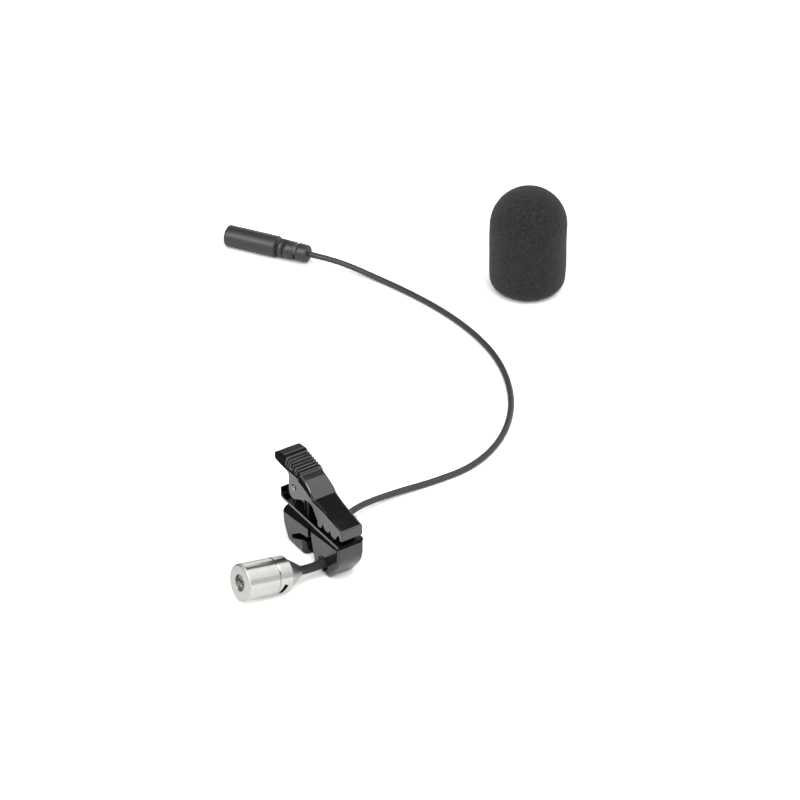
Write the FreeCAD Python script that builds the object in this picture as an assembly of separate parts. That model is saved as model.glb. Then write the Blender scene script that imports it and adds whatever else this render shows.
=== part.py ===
# Clip-on lavalier microphone: electret capsule, spring clip, cable with an inline jack, windscreen.
# Sizes are in millimetres, angles in degrees. The origin lies on the table, under the swivel rivet.
# +X runs across the clip, away from the capsule. +Y runs from the jaw's mouth to the thumb pad.
import FreeCAD
import Part
import math
import os

Vector = FreeCAD.Vector

# Capsule: distances run along its axis from the front face
CAPSULE_RADIUS = 5.3
CAPSULE_TILT = 11.5
CAPSULE_Y = -7.1
CAPSULE_FRONT_X = -31.2
SHELL_LENGTH = 10.2
SHELL_WALL = 0.4
SHELL_FRONT_WALL = 0.8
SHELL_EDGE_ROUND = 0.6
SOUND_HOLE_RADIUS = 2.35
SOUND_HOLE_ROUND = 0.2
SEAM_GAP = 0.1
SEAM_CHAMFER = 0.2
RING_LENGTH = 4.2
RING_SPIGOT = 1.5
RING_BORE_RADIUS = 4.2
RING_EDGE_CHAMFER = 0.35
SLOT_OFFSET = 1.25
SLOT_WIDTH = 1.3
SLOT_LENGTH = 3.2
SLOT_SLANT = 24.0
SLOT_CENTRE_ANGLE = -75.0
SLOT_COUNT = 2
CONE_LENGTH = 5.1
CONE_BASE_RADIUS = 4.75
CONE_SPIGOT = 1.2
CONE_WALL = 0.9
CONE_EDGE_ROUND = 0.3
NECK_WALL = 0.25
GRILLE_THICKNESS = 0.3
GRILLE_HOLE_RADIUS = 0.24
GRILLE_PITCH = 0.72
GRILLE_RINGS = 3
FELT_THICKNESS = 0.4
GASKET_THICKNESS = 0.5
GASKET_WIDTH = 1.0
ELEMENT_RADIUS = 4.85
ELEMENT_PORT_RADIUS = 1.0
ELEMENT_PORT_DEPTH = 0.3
BOARD_THICKNESS = 0.8
FIT_GAP = 0.05

# Cable and the rubber boot between the capsule and the clip
CABLE_RADIUS = 0.95
BOOT_RADIUS = 1.4
BOOT_BORE_DEPTH = 1.8
CHANNEL_CLEARANCE = 0.1
CHANNEL_HEIGHT = 3.4
CHANNEL_RUN_X = 0.6
CHANNEL_BEND_RADIUS = 3.0
CABLE_EXIT_Y = 7.2
CABLE_TAIL_START = 16.0
ARC_SHARE = 0.45

# Holder: the moulded block that carries the clip and grips the cable
HOLDER_WIDTH = 8.5
HOLDER_TOP = 12.6
HOLDER_FRONT_CORNER = 0.8
HOLDER_REAR_CORNER = 1.1
# Level sections from the foot up: height, front Y, rear Y, how far each side stands in
HOLDER_SECTIONS = (
    (0.0, -9.4, 11.1, 0.6),
    (0.3, -9.9, 11.5, 0.25),
    (0.9, -10.6, 11.9, 0.0),
    (3.3, -12.5, 13.4, 0.0),
    (5.0, -13.7, 14.1, 0.0),
    (6.8, -14.6, 14.5, 0.0),
    (8.8, -15.1, 14.5, 0.0),
    (HOLDER_TOP, -15.1, 12.8, 0.0),
)
SHOULDER_FRONT_DROP = 0.4
SHOULDER_REAR_DROP = 3.9
SHOULDER_SLOPE = 0.75
# The open cable hook on the capsule's side: its opening's outline in (Y, height, corner radius)
HOOK_DEPTH = 2.6
HOOK_OPENING = (
    (-3.4, -1.0, 0),
    (-2.7, 2.0, 2.0),
    (-1.1, 9.2, 2.0),
    (-1.1, 10.8, 0.4),
    (0.5, 10.8, 0.4),
    (0.6, 7.6, 0.6),
    (4.8, 6.6, 2.0),
    (9.7, 3.1, 0.7),
    (8.8, 2.3, 0.4),
    (3.0, 5.2, 0.8),
    (2.6, -1.0, 0),
)
TONGUE_TIP_Y = 2.6
TONGUE_ROUND = 2.2
TONGUE_HEIGHT = 5.8
BOOT_RECESS_RADIUS = 2.5
BOOT_RECESS_DEPTH = 1.2

# Swivel
RIVET_RADIUS = 1.2
RIVET_BORE_RADIUS = 0.6
RIVET_HEAD_RADIUS = 2.1
RIVET_HEAD_HEIGHT = 0.5
RIVET_DEPTH = 3.2
SWIVEL_CLEARANCE = 0.05
WASHER_RADIUS = 2.7
WASHER_THICKNESS = 0.3
WASHER_GAP = 0.2
WASHER_RECESS = 0.2

# Lower jaw
JAW_WIDTH = 8.4
JAW_THICKNESS = 0.9
JAW_FRONT_Y = -15.3
JAW_REAR_Y = 15.4
JAW_CURL_RADIUS = 1.8
JAW_CURL_HEIGHT = 2.5
JAW_EAR_THICKNESS = 0.7
JAW_EAR_GAP = 0.3
JAW_EAR_FRONT_Y = 4.7
JAW_EAR_REAR_Y = 9.7
JAW_EAR_TOP_HALF = 1.9
JAW_EAR_CORNER = 1.7
JAW_EDGE_ROUND = 0.3
JAW_CORNER_RADIUS = 0.7

# Lever: heights are above the table
LEVER_WIDTH = 8.3
LEVER_FRONT_WIDTH = 7.0
LEVER_FLARE_START_Y = -7.0
LEVER_FLARE_END_Y = 0.0
LEVER_WALL = 0.8
LEVER_TOP_WALL = 1.0
LEVER_FRONT_Y = -15.8
LEVER_FRONT_TOP = 19.1
LEVER_LIP_BOTTOM = 15.7
LEVER_LIP_THICKNESS = 0.9
LEVER_BREAK_Y = -2.0
LEVER_BREAK_TOP = 21.95
LEVER_CROWN_Y = 0.7
LEVER_CROWN_TOP = 24.35
LEVER_STEP_Y = 5.3
LEVER_STEP_LOW = 25.65
LEVER_STEP_HIGH = 26.4
LEVER_PAD_Y = 13.4
LEVER_PAD_TOP = 27.95
LEVER_PAD_SHOULDER_Y = 16.9
LEVER_PAD_SHOULDER_TOP = 27.4
LEVER_TIP_Y = 19.4
LEVER_TIP_TOP = 25.6
LEVER_TIP_BOTTOM = 24.7
LEVER_TAIL_BOTTOM = 24.0
LEVER_EAR_REAR_Y = 10.4
LEVER_EAR_BOTTOM = 16.5
LEVER_EAR_FRONT_Y = 7.9
LEVER_ARCH_REAR_Y = 1.2
LEVER_ARCH_TOP = 20.0
LEVER_ARCH_Y = -1.3
LEVER_ARCH_FRONT_Y = -3.9
LEVER_CROWN_STEPS = 6
# Bevel of the long top edges, as (inset, drop), at places along them
BEVEL_AT_LIP = (0.35, 0.4)
BEVEL_AT_FLARE = (0.4, 0.7)
BEVEL_AT_BREAK = (0.5, 0.9)
BEVEL_AT_STEP = (0.65, 1.7)
BEVEL_AT_PAD = (0.65, 3.5)
BEVEL_AT_TIP = (0.6, 1.6)
LEVER_TAIL_CORNER = 2.4
LEVER_FRONT_CORNER = 0.4
LEVER_EDGE_ROUND = 0.3
LEVER_FRONT_ROUND = 0.5
LEVER_BREAK_ROUND = 0.8
LEVER_CROWN_ROUND = 11.5
LEVER_PAD_ROUND = 5.0
LEVER_TIP_ROUND = 0.5
LEVER_EAR_ROUND = 1.2
LEVER_EAR_REAR_ROUND = 1.9
LEVER_ARCH_ROUND = 1.8
RIB_COUNT = 6
RIB_HEIGHT = 0.35
RIB_PITCH = 1.15
GROOVE_RADIUS = 0.46
FLANK_GROOVE_SHARE = 0.8
TOOTH_COUNT = 3
TOOTH_PITCH = 3.4
TOOTH_DEPTH = 2.0
TOOTH_CREST = 1.2
TOOTH_CLEARANCE = 0.3
TEETH_REAR_Y = -4.1
TOOTH_ROUND = 0.2
LIP_NOTCH_DEPTH = 0.5
LIP_NOTCH_HEIGHT = 2.0
LIP_NOTCH_ROUND = 0.5

# Pivot and spring
PIVOT_Y = 7.8
PIVOT_Z = 20.4
PIN_RADIUS = 0.7
PIN_CLEARANCE = 0.05
PIN_HEAD_RADIUS = 1.1
PIN_HEAD_TOP_RADIUS = 0.65
PIN_HEAD_HEIGHT = 0.35
PIN_HEAD_GAP = 0.1
SPRING_WIRE_RADIUS = 0.225
SPRING_RADIUS = 1.5
SPRING_PITCH = 0.88
SPRING_START_ANGLE = 22.0
SPRING_END_ANGLE = 1050.0
SPRING_LOWER_LEG = 7.3
SPRING_UPPER_LEG = 7.3
SPRING_STEPS_PER_TURN = 4

# Inline jack: distances run along its axis from the cable end to the open end
JACK_X = 80.8
JACK_Y = 135.4
JACK_HEADING = 122.3
BARREL_RADIUS = 3.55
BARREL_LENGTH = 18.4
BARREL_EDGE_ROUND = 0.9
BARREL_REAR_ROUND = 0.3
BARREL_WALL = 0.95
RELIEF_LENGTH = 11.2
RELIEF_RADIUS = 3.1
RELIEF_END_RADIUS = 2.85
RELIEF_CORE_RADIUS = 1.75
RELIEF_END_ROUND = 0.9
RELIEF_SPIGOT_RADIUS = 2.2
RELIEF_GAP_CENTRES = (4.4, 8.6, 10.7)
RELIEF_GAP_WIDTHS = (1.3, 0.5, 0.9)
RELIEF_BRIDGE_WIDTH = 2.6
RELIEF_BRIDGE_RADIUS = 2.7
JACK_BORE_RADIUS = 1.8
JACK_BORE_DEPTH = 14.0
NOSE_LENGTH = 3.2
NOSE_RECESS = 0.3
CARRIER_LENGTH = 12.4
CONTACT_WIDTH = 1.0
CONTACT_THICKNESS = 0.25
CONTACT_CLEARANCE = 0.05
CONTACT_LENGTHS = (9.8, 6.6)

# Windscreen
FOAM_X = 131.3
FOAM_Y = 84.5
FOAM_RADIUS = 12.6
FOAM_HEIGHT = 36.0
FOAM_RIM_RADIUS = 8.6
FOAM_BORE_RADIUS = 4.9
FOAM_BORE_DEPTH = 22.0

# Cable's route on the table, from the holder to the jack, in order
EXIT_RUN = 6.2
TABLE_HEIGHT = CABLE_RADIUS + 0.05
CABLE_POINTS = (
    Vector(19.6, 11.0, 2.9),
    Vector(32.5, 12.2, 1.5),
    Vector(45.5, 11.0, TABLE_HEIGHT),
    Vector(59.0, 10.9, TABLE_HEIGHT),
    Vector(72.4, 16.4, TABLE_HEIGHT),
    Vector(84.4, 26.8, TABLE_HEIGHT),
    Vector(93.1, 40.0, TABLE_HEIGHT),
    Vector(98.7, 54.7, TABLE_HEIGHT),
    Vector(100.7, 70.1, TABLE_HEIGHT),
    Vector(100.0, 85.7, TABLE_HEIGHT),
    Vector(97.2, 100.7, TABLE_HEIGHT),
    Vector(93.2, 114.2, 1.2),
    Vector(88.4, 124.2, 2.6),
)

# How far a cut runs past the face that it opens
CUT_MARGIN = 1.0

# Values that several pieces share
CAPSULE_BORE_RADIUS = CAPSULE_RADIUS - SHELL_WALL
RING_START = SHELL_LENGTH + SEAM_GAP
RING_END = RING_START + RING_LENGTH
NECK = RING_END + CONE_LENGTH
CAPSULE_AXIS = Vector(math.cos(math.radians(CAPSULE_TILT)), 0, -math.sin(math.radians(CAPSULE_TILT)))
CAPSULE_FRONT_Z = (
    CAPSULE_RADIUS * math.cos(math.radians(CAPSULE_TILT))
    + (RING_END - RING_EDGE_CHAMFER) * math.sin(math.radians(CAPSULE_TILT))
)
CAPSULE_FRONT = Vector(CAPSULE_FRONT_X, CAPSULE_Y, CAPSULE_FRONT_Z)
GRILLE_START = SHELL_FRONT_WALL
FELT_START = GRILLE_START + GRILLE_THICKNESS
GASKET_START = FELT_START + FELT_THICKNESS
ELEMENT_START = GASKET_START + GASKET_THICKNESS
BOARD_START = RING_START - RING_SPIGOT - BOARD_THICKNESS
HOLDER_SIDE_X = HOLDER_WIDTH / 2
CABLE_EXIT = Vector(HOLDER_SIDE_X, CABLE_EXIT_Y, CHANNEL_HEIGHT)
WASHER_BOTTOM = HOLDER_TOP - WASHER_RECESS
JAW_BOTTOM = WASHER_BOTTOM + WASHER_THICKNESS + WASHER_GAP
JAW_TOP = JAW_BOTTOM + JAW_THICKNESS
JAW_HALF = JAW_WIDTH / 2
LEVER_HALF = LEVER_WIDTH / 2
LEVER_FRONT_HALF = LEVER_FRONT_WIDTH / 2
LEVER_INSIDE = LEVER_FRONT_HALF - LEVER_WALL
EAR_OUTSIDE = LEVER_INSIDE - JAW_EAR_GAP
EAR_INSIDE = EAR_OUTSIDE - JAW_EAR_THICKNESS
TOOTH_TIP = JAW_TOP + TOOTH_CLEARANCE
JACK_END = RELIEF_LENGTH + BARREL_LENGTH
BARREL_BORE_RADIUS = BARREL_RADIUS - BARREL_WALL
CARRIER_START = JACK_END - NOSE_RECESS - NOSE_LENGTH - CARRIER_LENGTH
JACK_HEIGHT = BARREL_RADIUS


def rounded_path(points, radii, closed):
    """Straight runs joined by tangent arcs, with one radius for each point; 0 keeps it sharp."""
    count = len(points)
    arrive = list(points)
    leave = list(points)
    arcs = {}
    for index in range(0 if closed else 1, count if closed else count - 1):
        if radii[index] > 0:
            corner = points[index]
            back = Vector(points[index - 1] - corner).normalize()
            ahead = Vector(points[(index + 1) % count] - corner).normalize()
            half_turn = (math.pi - back.getAngle(ahead)) / 2
            reach = radii[index] * math.tan(half_turn)
            inward = Vector(back + ahead).normalize()
            arrive[index] = corner + back * reach
            leave[index] = corner + ahead * reach
            crown = corner + inward * radii[index] * (1 / math.cos(half_turn) - 1)
            arcs[index] = Part.Arc(arrive[index], crown, leave[index]).toShape()
    edges = []
    for index in range(count if closed else count - 1):
        following = (index + 1) % count
        if index in arcs:
            edges.append(arcs[index])
        if leave[index].distanceToPoint(arrive[following]) > 1e-6:
            edges.append(Part.LineSegment(leave[index], arrive[following]).toShape())
    return Part.Wire(edges)


def block_across(outline, low, high):
    """Solid between two X positions, from (y, z, corner radius) points."""
    points = [Vector(low, y, z) for y, z, radius in outline]
    wire = rounded_path(points, [radius for y, z, radius in outline], True)
    return Part.Face(wire).extrude(Vector(high - low, 0, 0))


def block_lengthwise(outline, low, high):
    """Solid between two Y positions, from (x, z, corner radius) points."""
    points = [Vector(x, low, z) for x, z, radius in outline]
    wire = rounded_path(points, [radius for x, z, radius in outline], True)
    return Part.Face(wire).extrude(Vector(0, high - low, 0))


def block_upright(outline, low, high):
    """Solid between two heights, from (x, y, corner radius) points."""
    points = [Vector(x, y, low) for x, y, radius in outline]
    wire = rounded_path(points, [radius for x, y, radius in outline], True)
    return Part.Face(wire).extrude(Vector(0, 0, high - low))


def turned(outline):
    """Solid turned about the X axis, from (distance, radius, corner radius) points."""
    points = [Vector(distance, radius, 0) for distance, radius, corner in outline]
    wire = rounded_path(points, [corner for distance, radius, corner in outline], True)
    return Part.Face(wire).revolve(Vector(0, 0, 0), Vector(1, 0, 0), 360)


def tube(start, end, outer, inner=0.0):
    """Plain rod, or a ring where inner is given, turned about the X axis."""
    return turned(((start, inner, 0), (end, inner, 0), (end, outer, 0), (start, outer, 0)))


def rod_across(y, z, radius, low, high):
    """Round rod along X between two X positions."""
    return Part.makeCylinder(radius, high - low, Vector(low, y, z), Vector(1, 0, 0))


def sweep(path, radius):
    """Round bar of the given radius along a wire."""
    first = path.Edges[0]
    start = first.valueAt(first.FirstParameter)
    heading = first.tangentAt(first.FirstParameter)
    ring = Part.Wire(Part.makeCircle(radius, start, heading))
    return path.makePipeShell([ring], True, False)


def on_capsule(shape):
    """Move a piece that was turned about the X axis to its place on the tilted capsule."""
    place = FreeCAD.Placement(CAPSULE_FRONT, FreeCAD.Rotation(Vector(0, 1, 0), CAPSULE_TILT))
    shape.Placement = place.multiply(shape.Placement)
    return shape


def on_jack(shape):
    """Move a piece that was turned about the X axis to its place on the inline jack."""
    turn = FreeCAD.Rotation(Vector(0, 0, 1), JACK_HEADING)
    place = FreeCAD.Placement(Vector(JACK_X, JACK_Y, JACK_HEIGHT), turn)
    shape.Placement = place.multiply(shape.Placement)
    return shape


def capsule_point(distance):
    """Point on the capsule's axis."""
    return CAPSULE_FRONT + CAPSULE_AXIS * distance


def front_shell():
    """Turned cup with the sound hole in its front wall and a bore for the element."""
    cup = turned((
        (0, SOUND_HOLE_RADIUS, SOUND_HOLE_ROUND),
        (SHELL_FRONT_WALL, SOUND_HOLE_RADIUS, 0),
        (SHELL_FRONT_WALL, CAPSULE_BORE_RADIUS, 0),
        (SHELL_LENGTH, CAPSULE_BORE_RADIUS, 0),
        (SHELL_LENGTH, CAPSULE_RADIUS - SEAM_CHAMFER, 0),
        (SHELL_LENGTH - SEAM_CHAMFER, CAPSULE_RADIUS, 0),
        (0, CAPSULE_RADIUS, SHELL_EDGE_ROUND),
    ))
    return on_capsule(cup)


def front_grille():
    """Perforated disc behind the sound hole, with rings of holes about a middle one."""
    disc = tube(GRILLE_START, GRILLE_START + GRILLE_THICKNESS, CAPSULE_BORE_RADIUS - FIT_GAP)
    holes = []
    for ring in range(GRILLE_RINGS + 1):
        for step in range(max(1, 6 * ring)):
            angle = math.radians(60 * step / max(1, ring))
            place = Vector(0, ring * GRILLE_PITCH * math.cos(angle), ring * GRILLE_PITCH * math.sin(angle))
            holes.append(Part.makeCylinder(GRILLE_HOLE_RADIUS, ELEMENT_START, place, Vector(1, 0, 0)))
    return on_capsule(disc.cut(holes))


def dust_felt():
    """Cloth disc between the grille and the gasket."""
    return on_capsule(tube(FELT_START, FELT_START + FELT_THICKNESS, CAPSULE_BORE_RADIUS - FIT_GAP))


def element_gasket():
    """Rubber ring that seals the element's face."""
    outer = CAPSULE_BORE_RADIUS - FIT_GAP
    return on_capsule(tube(GASKET_START, GASKET_START + GASKET_THICKNESS, outer, outer - GASKET_WIDTH))


def electret_element():
    """Electret can with the small sound port in its face."""
    can = tube(ELEMENT_START, BOARD_START, ELEMENT_RADIUS)
    port = tube(ELEMENT_START, ELEMENT_START + ELEMENT_PORT_DEPTH, ELEMENT_PORT_RADIUS)
    return on_capsule(can.cut(port))


def element_board():
    """Round board on the element's back."""
    return on_capsule(tube(BOARD_START, BOARD_START + BOARD_THICKNESS, ELEMENT_RADIUS - FIT_GAP))


def rear_ring():
    """Turned ring whose spigot fits in the shell, with its two slanted slots."""
    ring = turned((
        (RING_START - RING_SPIGOT, RING_BORE_RADIUS, 0),
        (RING_END, RING_BORE_RADIUS, 0),
        (RING_END, CAPSULE_RADIUS - RING_EDGE_CHAMFER, 0),
        (RING_END - RING_EDGE_CHAMFER, CAPSULE_RADIUS, 0),
        (RING_START + SEAM_CHAMFER, CAPSULE_RADIUS, 0),
        (RING_START, CAPSULE_RADIUS - SEAM_CHAMFER, 0),
        (RING_START, CAPSULE_BORE_RADIUS - FIT_GAP, 0),
        (RING_START - RING_SPIGOT, CAPSULE_BORE_RADIUS - FIT_GAP, 0),
    ))
    for index in range(SLOT_COUNT):
        ring = ring.cut(ring_slot(SLOT_CENTRE_ANGLE + index * 360 / SLOT_COUNT))
    return on_capsule(ring)


def ring_slot(angle):
    """Cut through the ring's wall, slanted to its axis, at an angle from the ring's underside."""
    cut = Part.makeBox(
        SLOT_WIDTH, SLOT_LENGTH, CAPSULE_RADIUS - RING_BORE_RADIUS + 2 * CUT_MARGIN,
        Vector(-SLOT_WIDTH / 2, -SLOT_LENGTH / 2, -CAPSULE_RADIUS - CUT_MARGIN)
    )
    cut.rotate(Vector(0, 0, 0), Vector(0, 0, 1), SLOT_SLANT)
    cut.rotate(Vector(0, 0, 0), Vector(1, 0, 0), angle)
    cut.translate(Vector(RING_START + SLOT_OFFSET, 0, 0))
    return cut


def tail_cone():
    """Turned cone behind the ring, hollow, with a spigot in the ring and a bore for the boot."""
    spigot = RING_BORE_RADIUS - FIT_GAP
    cone = turned((
        (RING_END - CONE_SPIGOT, spigot - CONE_WALL, 0),
        (RING_END - CONE_SPIGOT, spigot, 0),
        (RING_END, spigot, 0),
        (RING_END, CONE_BASE_RADIUS, CONE_EDGE_ROUND),
        (NECK, BOOT_RADIUS + NECK_WALL, 0),
        (NECK, BOOT_RADIUS, 0),
        (NECK - BOOT_BORE_DEPTH, BOOT_RADIUS, 0),
        (NECK - BOOT_BORE_DEPTH, CABLE_RADIUS, 0),
        (NECK - BOOT_BORE_DEPTH - CONE_WALL, CABLE_RADIUS, 0),
    ))
    return on_capsule(cone)


def tail_wire(start, end):
    """Cable's line from the capsule through the holder, from start to an X position on one side."""
    neck = capsule_point(NECK)
    level = capsule_point(NECK + (neck.z - CHANNEL_HEIGHT) / math.sin(math.radians(CAPSULE_TILT)))
    points = [
        start,
        level,
        Vector(CHANNEL_RUN_X, CAPSULE_Y, CHANNEL_HEIGHT),
        Vector(CHANNEL_RUN_X, CABLE_EXIT_Y, CHANNEL_HEIGHT),
        Vector(end, CABLE_EXIT_Y, CHANNEL_HEIGHT),
    ]
    bend = ARC_SHARE * (level - neck).Length / math.tan(math.radians(CAPSULE_TILT / 2))
    return rounded_path(points, [0, bend, CHANNEL_BEND_RADIUS, CHANNEL_BEND_RADIUS, 0], False)


def cable_tail():
    """Cable from inside the capsule, through the boot and the holder's channel, to the holder's side."""
    return sweep(tail_wire(capsule_point(CABLE_TAIL_START), HOLDER_SIDE_X), CABLE_RADIUS)


def boot_wire():
    """Boot's line: the first two runs of the cable's line, to the end of its bore in the holder."""
    neck = capsule_point(NECK)
    level = capsule_point(NECK + (neck.z - CHANNEL_HEIGHT) / math.sin(math.radians(CAPSULE_TILT)))
    start = capsule_point(NECK - BOOT_BORE_DEPTH)
    end = Vector(-HOLDER_SIDE_X + BOOT_BORE_DEPTH, CAPSULE_Y, CHANNEL_HEIGHT)
    bend = ARC_SHARE * (level - neck).Length / math.tan(math.radians(CAPSULE_TILT / 2))
    return rounded_path([start, level, end], [0, bend, 0], False)


def strain_boot():
    """Rubber boot moulded on the cable between the capsule and the holder."""
    return sweep(boot_wire(), BOOT_RADIUS).cut(
        sweep(tail_wire(capsule_point(CABLE_TAIL_START), HOLDER_SIDE_X), CABLE_RADIUS)
    )


def holder_body():
    """Boat shape of the holder: level sections with rounded corners, joined from the foot to the top."""
    sections = []
    for height, front, rear, inset in HOLDER_SECTIONS:
        half = HOLDER_SIDE_X - inset
        corners = (
            (-half, front, HOLDER_FRONT_CORNER - inset),
            (half, front, HOLDER_FRONT_CORNER - inset),
            (half, rear, HOLDER_REAR_CORNER - inset),
            (-half, rear, HOLDER_REAR_CORNER - inset),
        )
        points = [Vector(x, y, height) for x, y, radius in corners]
        sections.append(rounded_path(points, [radius for x, y, radius in corners], True))
    return Part.makeLoft(sections, True, True).removeSplitter()


def bevel_wedge(ends, outward, upward):
    """Wedge that bevels an edge, from the edge's end points with the bevel's inset and drop at each."""
    sections = []
    for corner, inset, drop in ends:
        corners = [
            corner + outward * inset - upward * (2 * drop),
            corner - outward * (2 * inset) + upward * drop,
            corner + outward * inset + upward * drop,
        ]
        sections.append(Part.makePolygon(corners + corners[:1]))
    return Part.makeLoft(sections, True, True)


def shoulder_wedges():
    """Wedges that slope off both upper edges of the holder, more towards its rear."""
    front = min(section[1] for section in HOLDER_SECTIONS)
    rear = max(section[2] for section in HOLDER_SECTIONS)
    wedges = []
    for side in (-1, 1):
        ends = [
            (Vector(side * HOLDER_SIDE_X, y, HOLDER_TOP), drop * SHOULDER_SLOPE, drop)
            for y, drop in ((front, SHOULDER_FRONT_DROP), (rear, SHOULDER_REAR_DROP))
        ]
        wedges.append(bevel_wedge(ends, Vector(side, 0, 0), Vector(0, 0, 1)))
    return wedges


def hook_cuts():
    """Opening that leaves the cable hook on the capsule's side, and the round of the hook's tip."""
    opening = block_across(HOOK_OPENING, -HOLDER_SIDE_X - CUT_MARGIN, -HOLDER_SIDE_X + HOOK_DEPTH)
    corner = Part.makeBox(
        TONGUE_ROUND + CUT_MARGIN, TONGUE_ROUND + CUT_MARGIN, TONGUE_HEIGHT,
        Vector(-HOLDER_SIDE_X - CUT_MARGIN, TONGUE_TIP_Y - CUT_MARGIN, 0)
    )
    middle = Vector(-HOLDER_SIDE_X + TONGUE_ROUND, TONGUE_TIP_Y + TONGUE_ROUND, 0)
    return [opening, corner.cut(Part.makeCylinder(TONGUE_ROUND, TONGUE_HEIGHT, middle))]


def cable_holder():
    """Moulded block: channel for the cable, recess for the boot, hook, and the rivet's hole."""
    outside = HOLDER_SIDE_X + CUT_MARGIN
    channel = sweep(tail_wire(capsule_point(NECK), outside), CABLE_RADIUS + CHANNEL_CLEARANCE)
    boot_bore = rod_across(
        CAPSULE_Y, CHANNEL_HEIGHT, BOOT_RADIUS + FIT_GAP, -outside, -HOLDER_SIDE_X + BOOT_BORE_DEPTH + FIT_GAP
    )
    recess = Part.makeCone(
        BOOT_RECESS_RADIUS, BOOT_RADIUS, BOOT_RECESS_DEPTH,
        Vector(-HOLDER_SIDE_X, CAPSULE_Y, CHANNEL_HEIGHT), Vector(1, 0, 0)
    )
    rivet_hole = Part.makeCylinder(RIVET_RADIUS, RIVET_DEPTH, Vector(0, 0, HOLDER_TOP - RIVET_DEPTH))
    seat = Part.makeCylinder(WASHER_RADIUS + FIT_GAP, WASHER_RECESS, Vector(0, 0, WASHER_BOTTOM))
    cuts = [channel, boot_bore, recess, rivet_hole, seat]
    return holder_body().cut(cuts + shoulder_wedges() + hook_cuts())


def swivel_rivet():
    """Hollow rivet, pressed in the holder, that the lower jaw turns on."""
    foot = HOLDER_TOP - RIVET_DEPTH
    head = JAW_TOP + SWIVEL_CLEARANCE
    shank = Part.makeCylinder(RIVET_RADIUS, head - foot, Vector(0, 0, foot))
    cap = Part.makeCylinder(RIVET_HEAD_RADIUS, RIVET_HEAD_HEIGHT, Vector(0, 0, head))
    cap = cap.makeFillet(RIVET_HEAD_HEIGHT / 2, [cap.Edges[0]])
    bore = Part.makeCylinder(RIVET_BORE_RADIUS, head + RIVET_HEAD_HEIGHT - foot, Vector(0, 0, foot))
    return shank.fuse(cap).cut(bore).removeSplitter()


def swivel_washer():
    """Thin washer between the holder and the lower jaw."""
    base = Vector(0, 0, WASHER_BOTTOM)
    disc = Part.makeCylinder(WASHER_RADIUS, WASHER_THICKNESS, base)
    return disc.cut(Part.makeCylinder(RIVET_RADIUS + SWIVEL_CLEARANCE, WASHER_THICKNESS, base))


def lower_jaw():
    """Pressed lower arm: a plate with a curled rear edge and two ears that carry the pin."""
    curl_top = JAW_TOP + JAW_CURL_HEIGHT
    curl_front = JAW_REAR_Y - JAW_THICKNESS
    arm = block_across((
        (JAW_FRONT_Y, JAW_BOTTOM, JAW_EDGE_ROUND),
        (JAW_REAR_Y, JAW_BOTTOM, JAW_CURL_RADIUS),
        (JAW_REAR_Y, curl_top, JAW_EDGE_ROUND),
        (curl_front, curl_top, JAW_EDGE_ROUND),
        (curl_front, JAW_TOP, JAW_CURL_RADIUS - JAW_THICKNESS),
        (JAW_FRONT_Y, JAW_TOP, JAW_EDGE_ROUND),
    ), -JAW_HALF, JAW_HALF)
    plan = block_upright((
        (-JAW_HALF, JAW_FRONT_Y, JAW_CORNER_RADIUS),
        (JAW_HALF, JAW_FRONT_Y, JAW_CORNER_RADIUS),
        (JAW_HALF, JAW_REAR_Y, JAW_CORNER_RADIUS),
        (-JAW_HALF, JAW_REAR_Y, JAW_CORNER_RADIUS),
    ), JAW_BOTTOM, curl_top)
    jaw = arm.common(plan)
    ear_top = PIVOT_Z + JAW_EAR_TOP_HALF
    for low in (-EAR_OUTSIDE, EAR_INSIDE):
        jaw = jaw.fuse(block_across((
            (JAW_EAR_FRONT_Y, JAW_TOP - JAW_THICKNESS / 2, 0),
            (JAW_EAR_REAR_Y, JAW_TOP - JAW_THICKNESS / 2, 0),
            (PIVOT_Y + JAW_EAR_TOP_HALF, ear_top, JAW_EAR_CORNER),
            (PIVOT_Y - JAW_EAR_TOP_HALF, ear_top, JAW_EAR_CORNER),
        ), low, low + JAW_EAR_THICKNESS))
    swivel_hole = Part.makeCylinder(
        RIVET_RADIUS + SWIVEL_CLEARANCE, JAW_THICKNESS, Vector(0, 0, JAW_BOTTOM)
    )
    pin_hole = rod_across(PIVOT_Y, PIVOT_Z, PIN_RADIUS, -JAW_HALF, JAW_HALF)
    return jaw.cut([swivel_hole, pin_hole]).removeSplitter()


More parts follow.
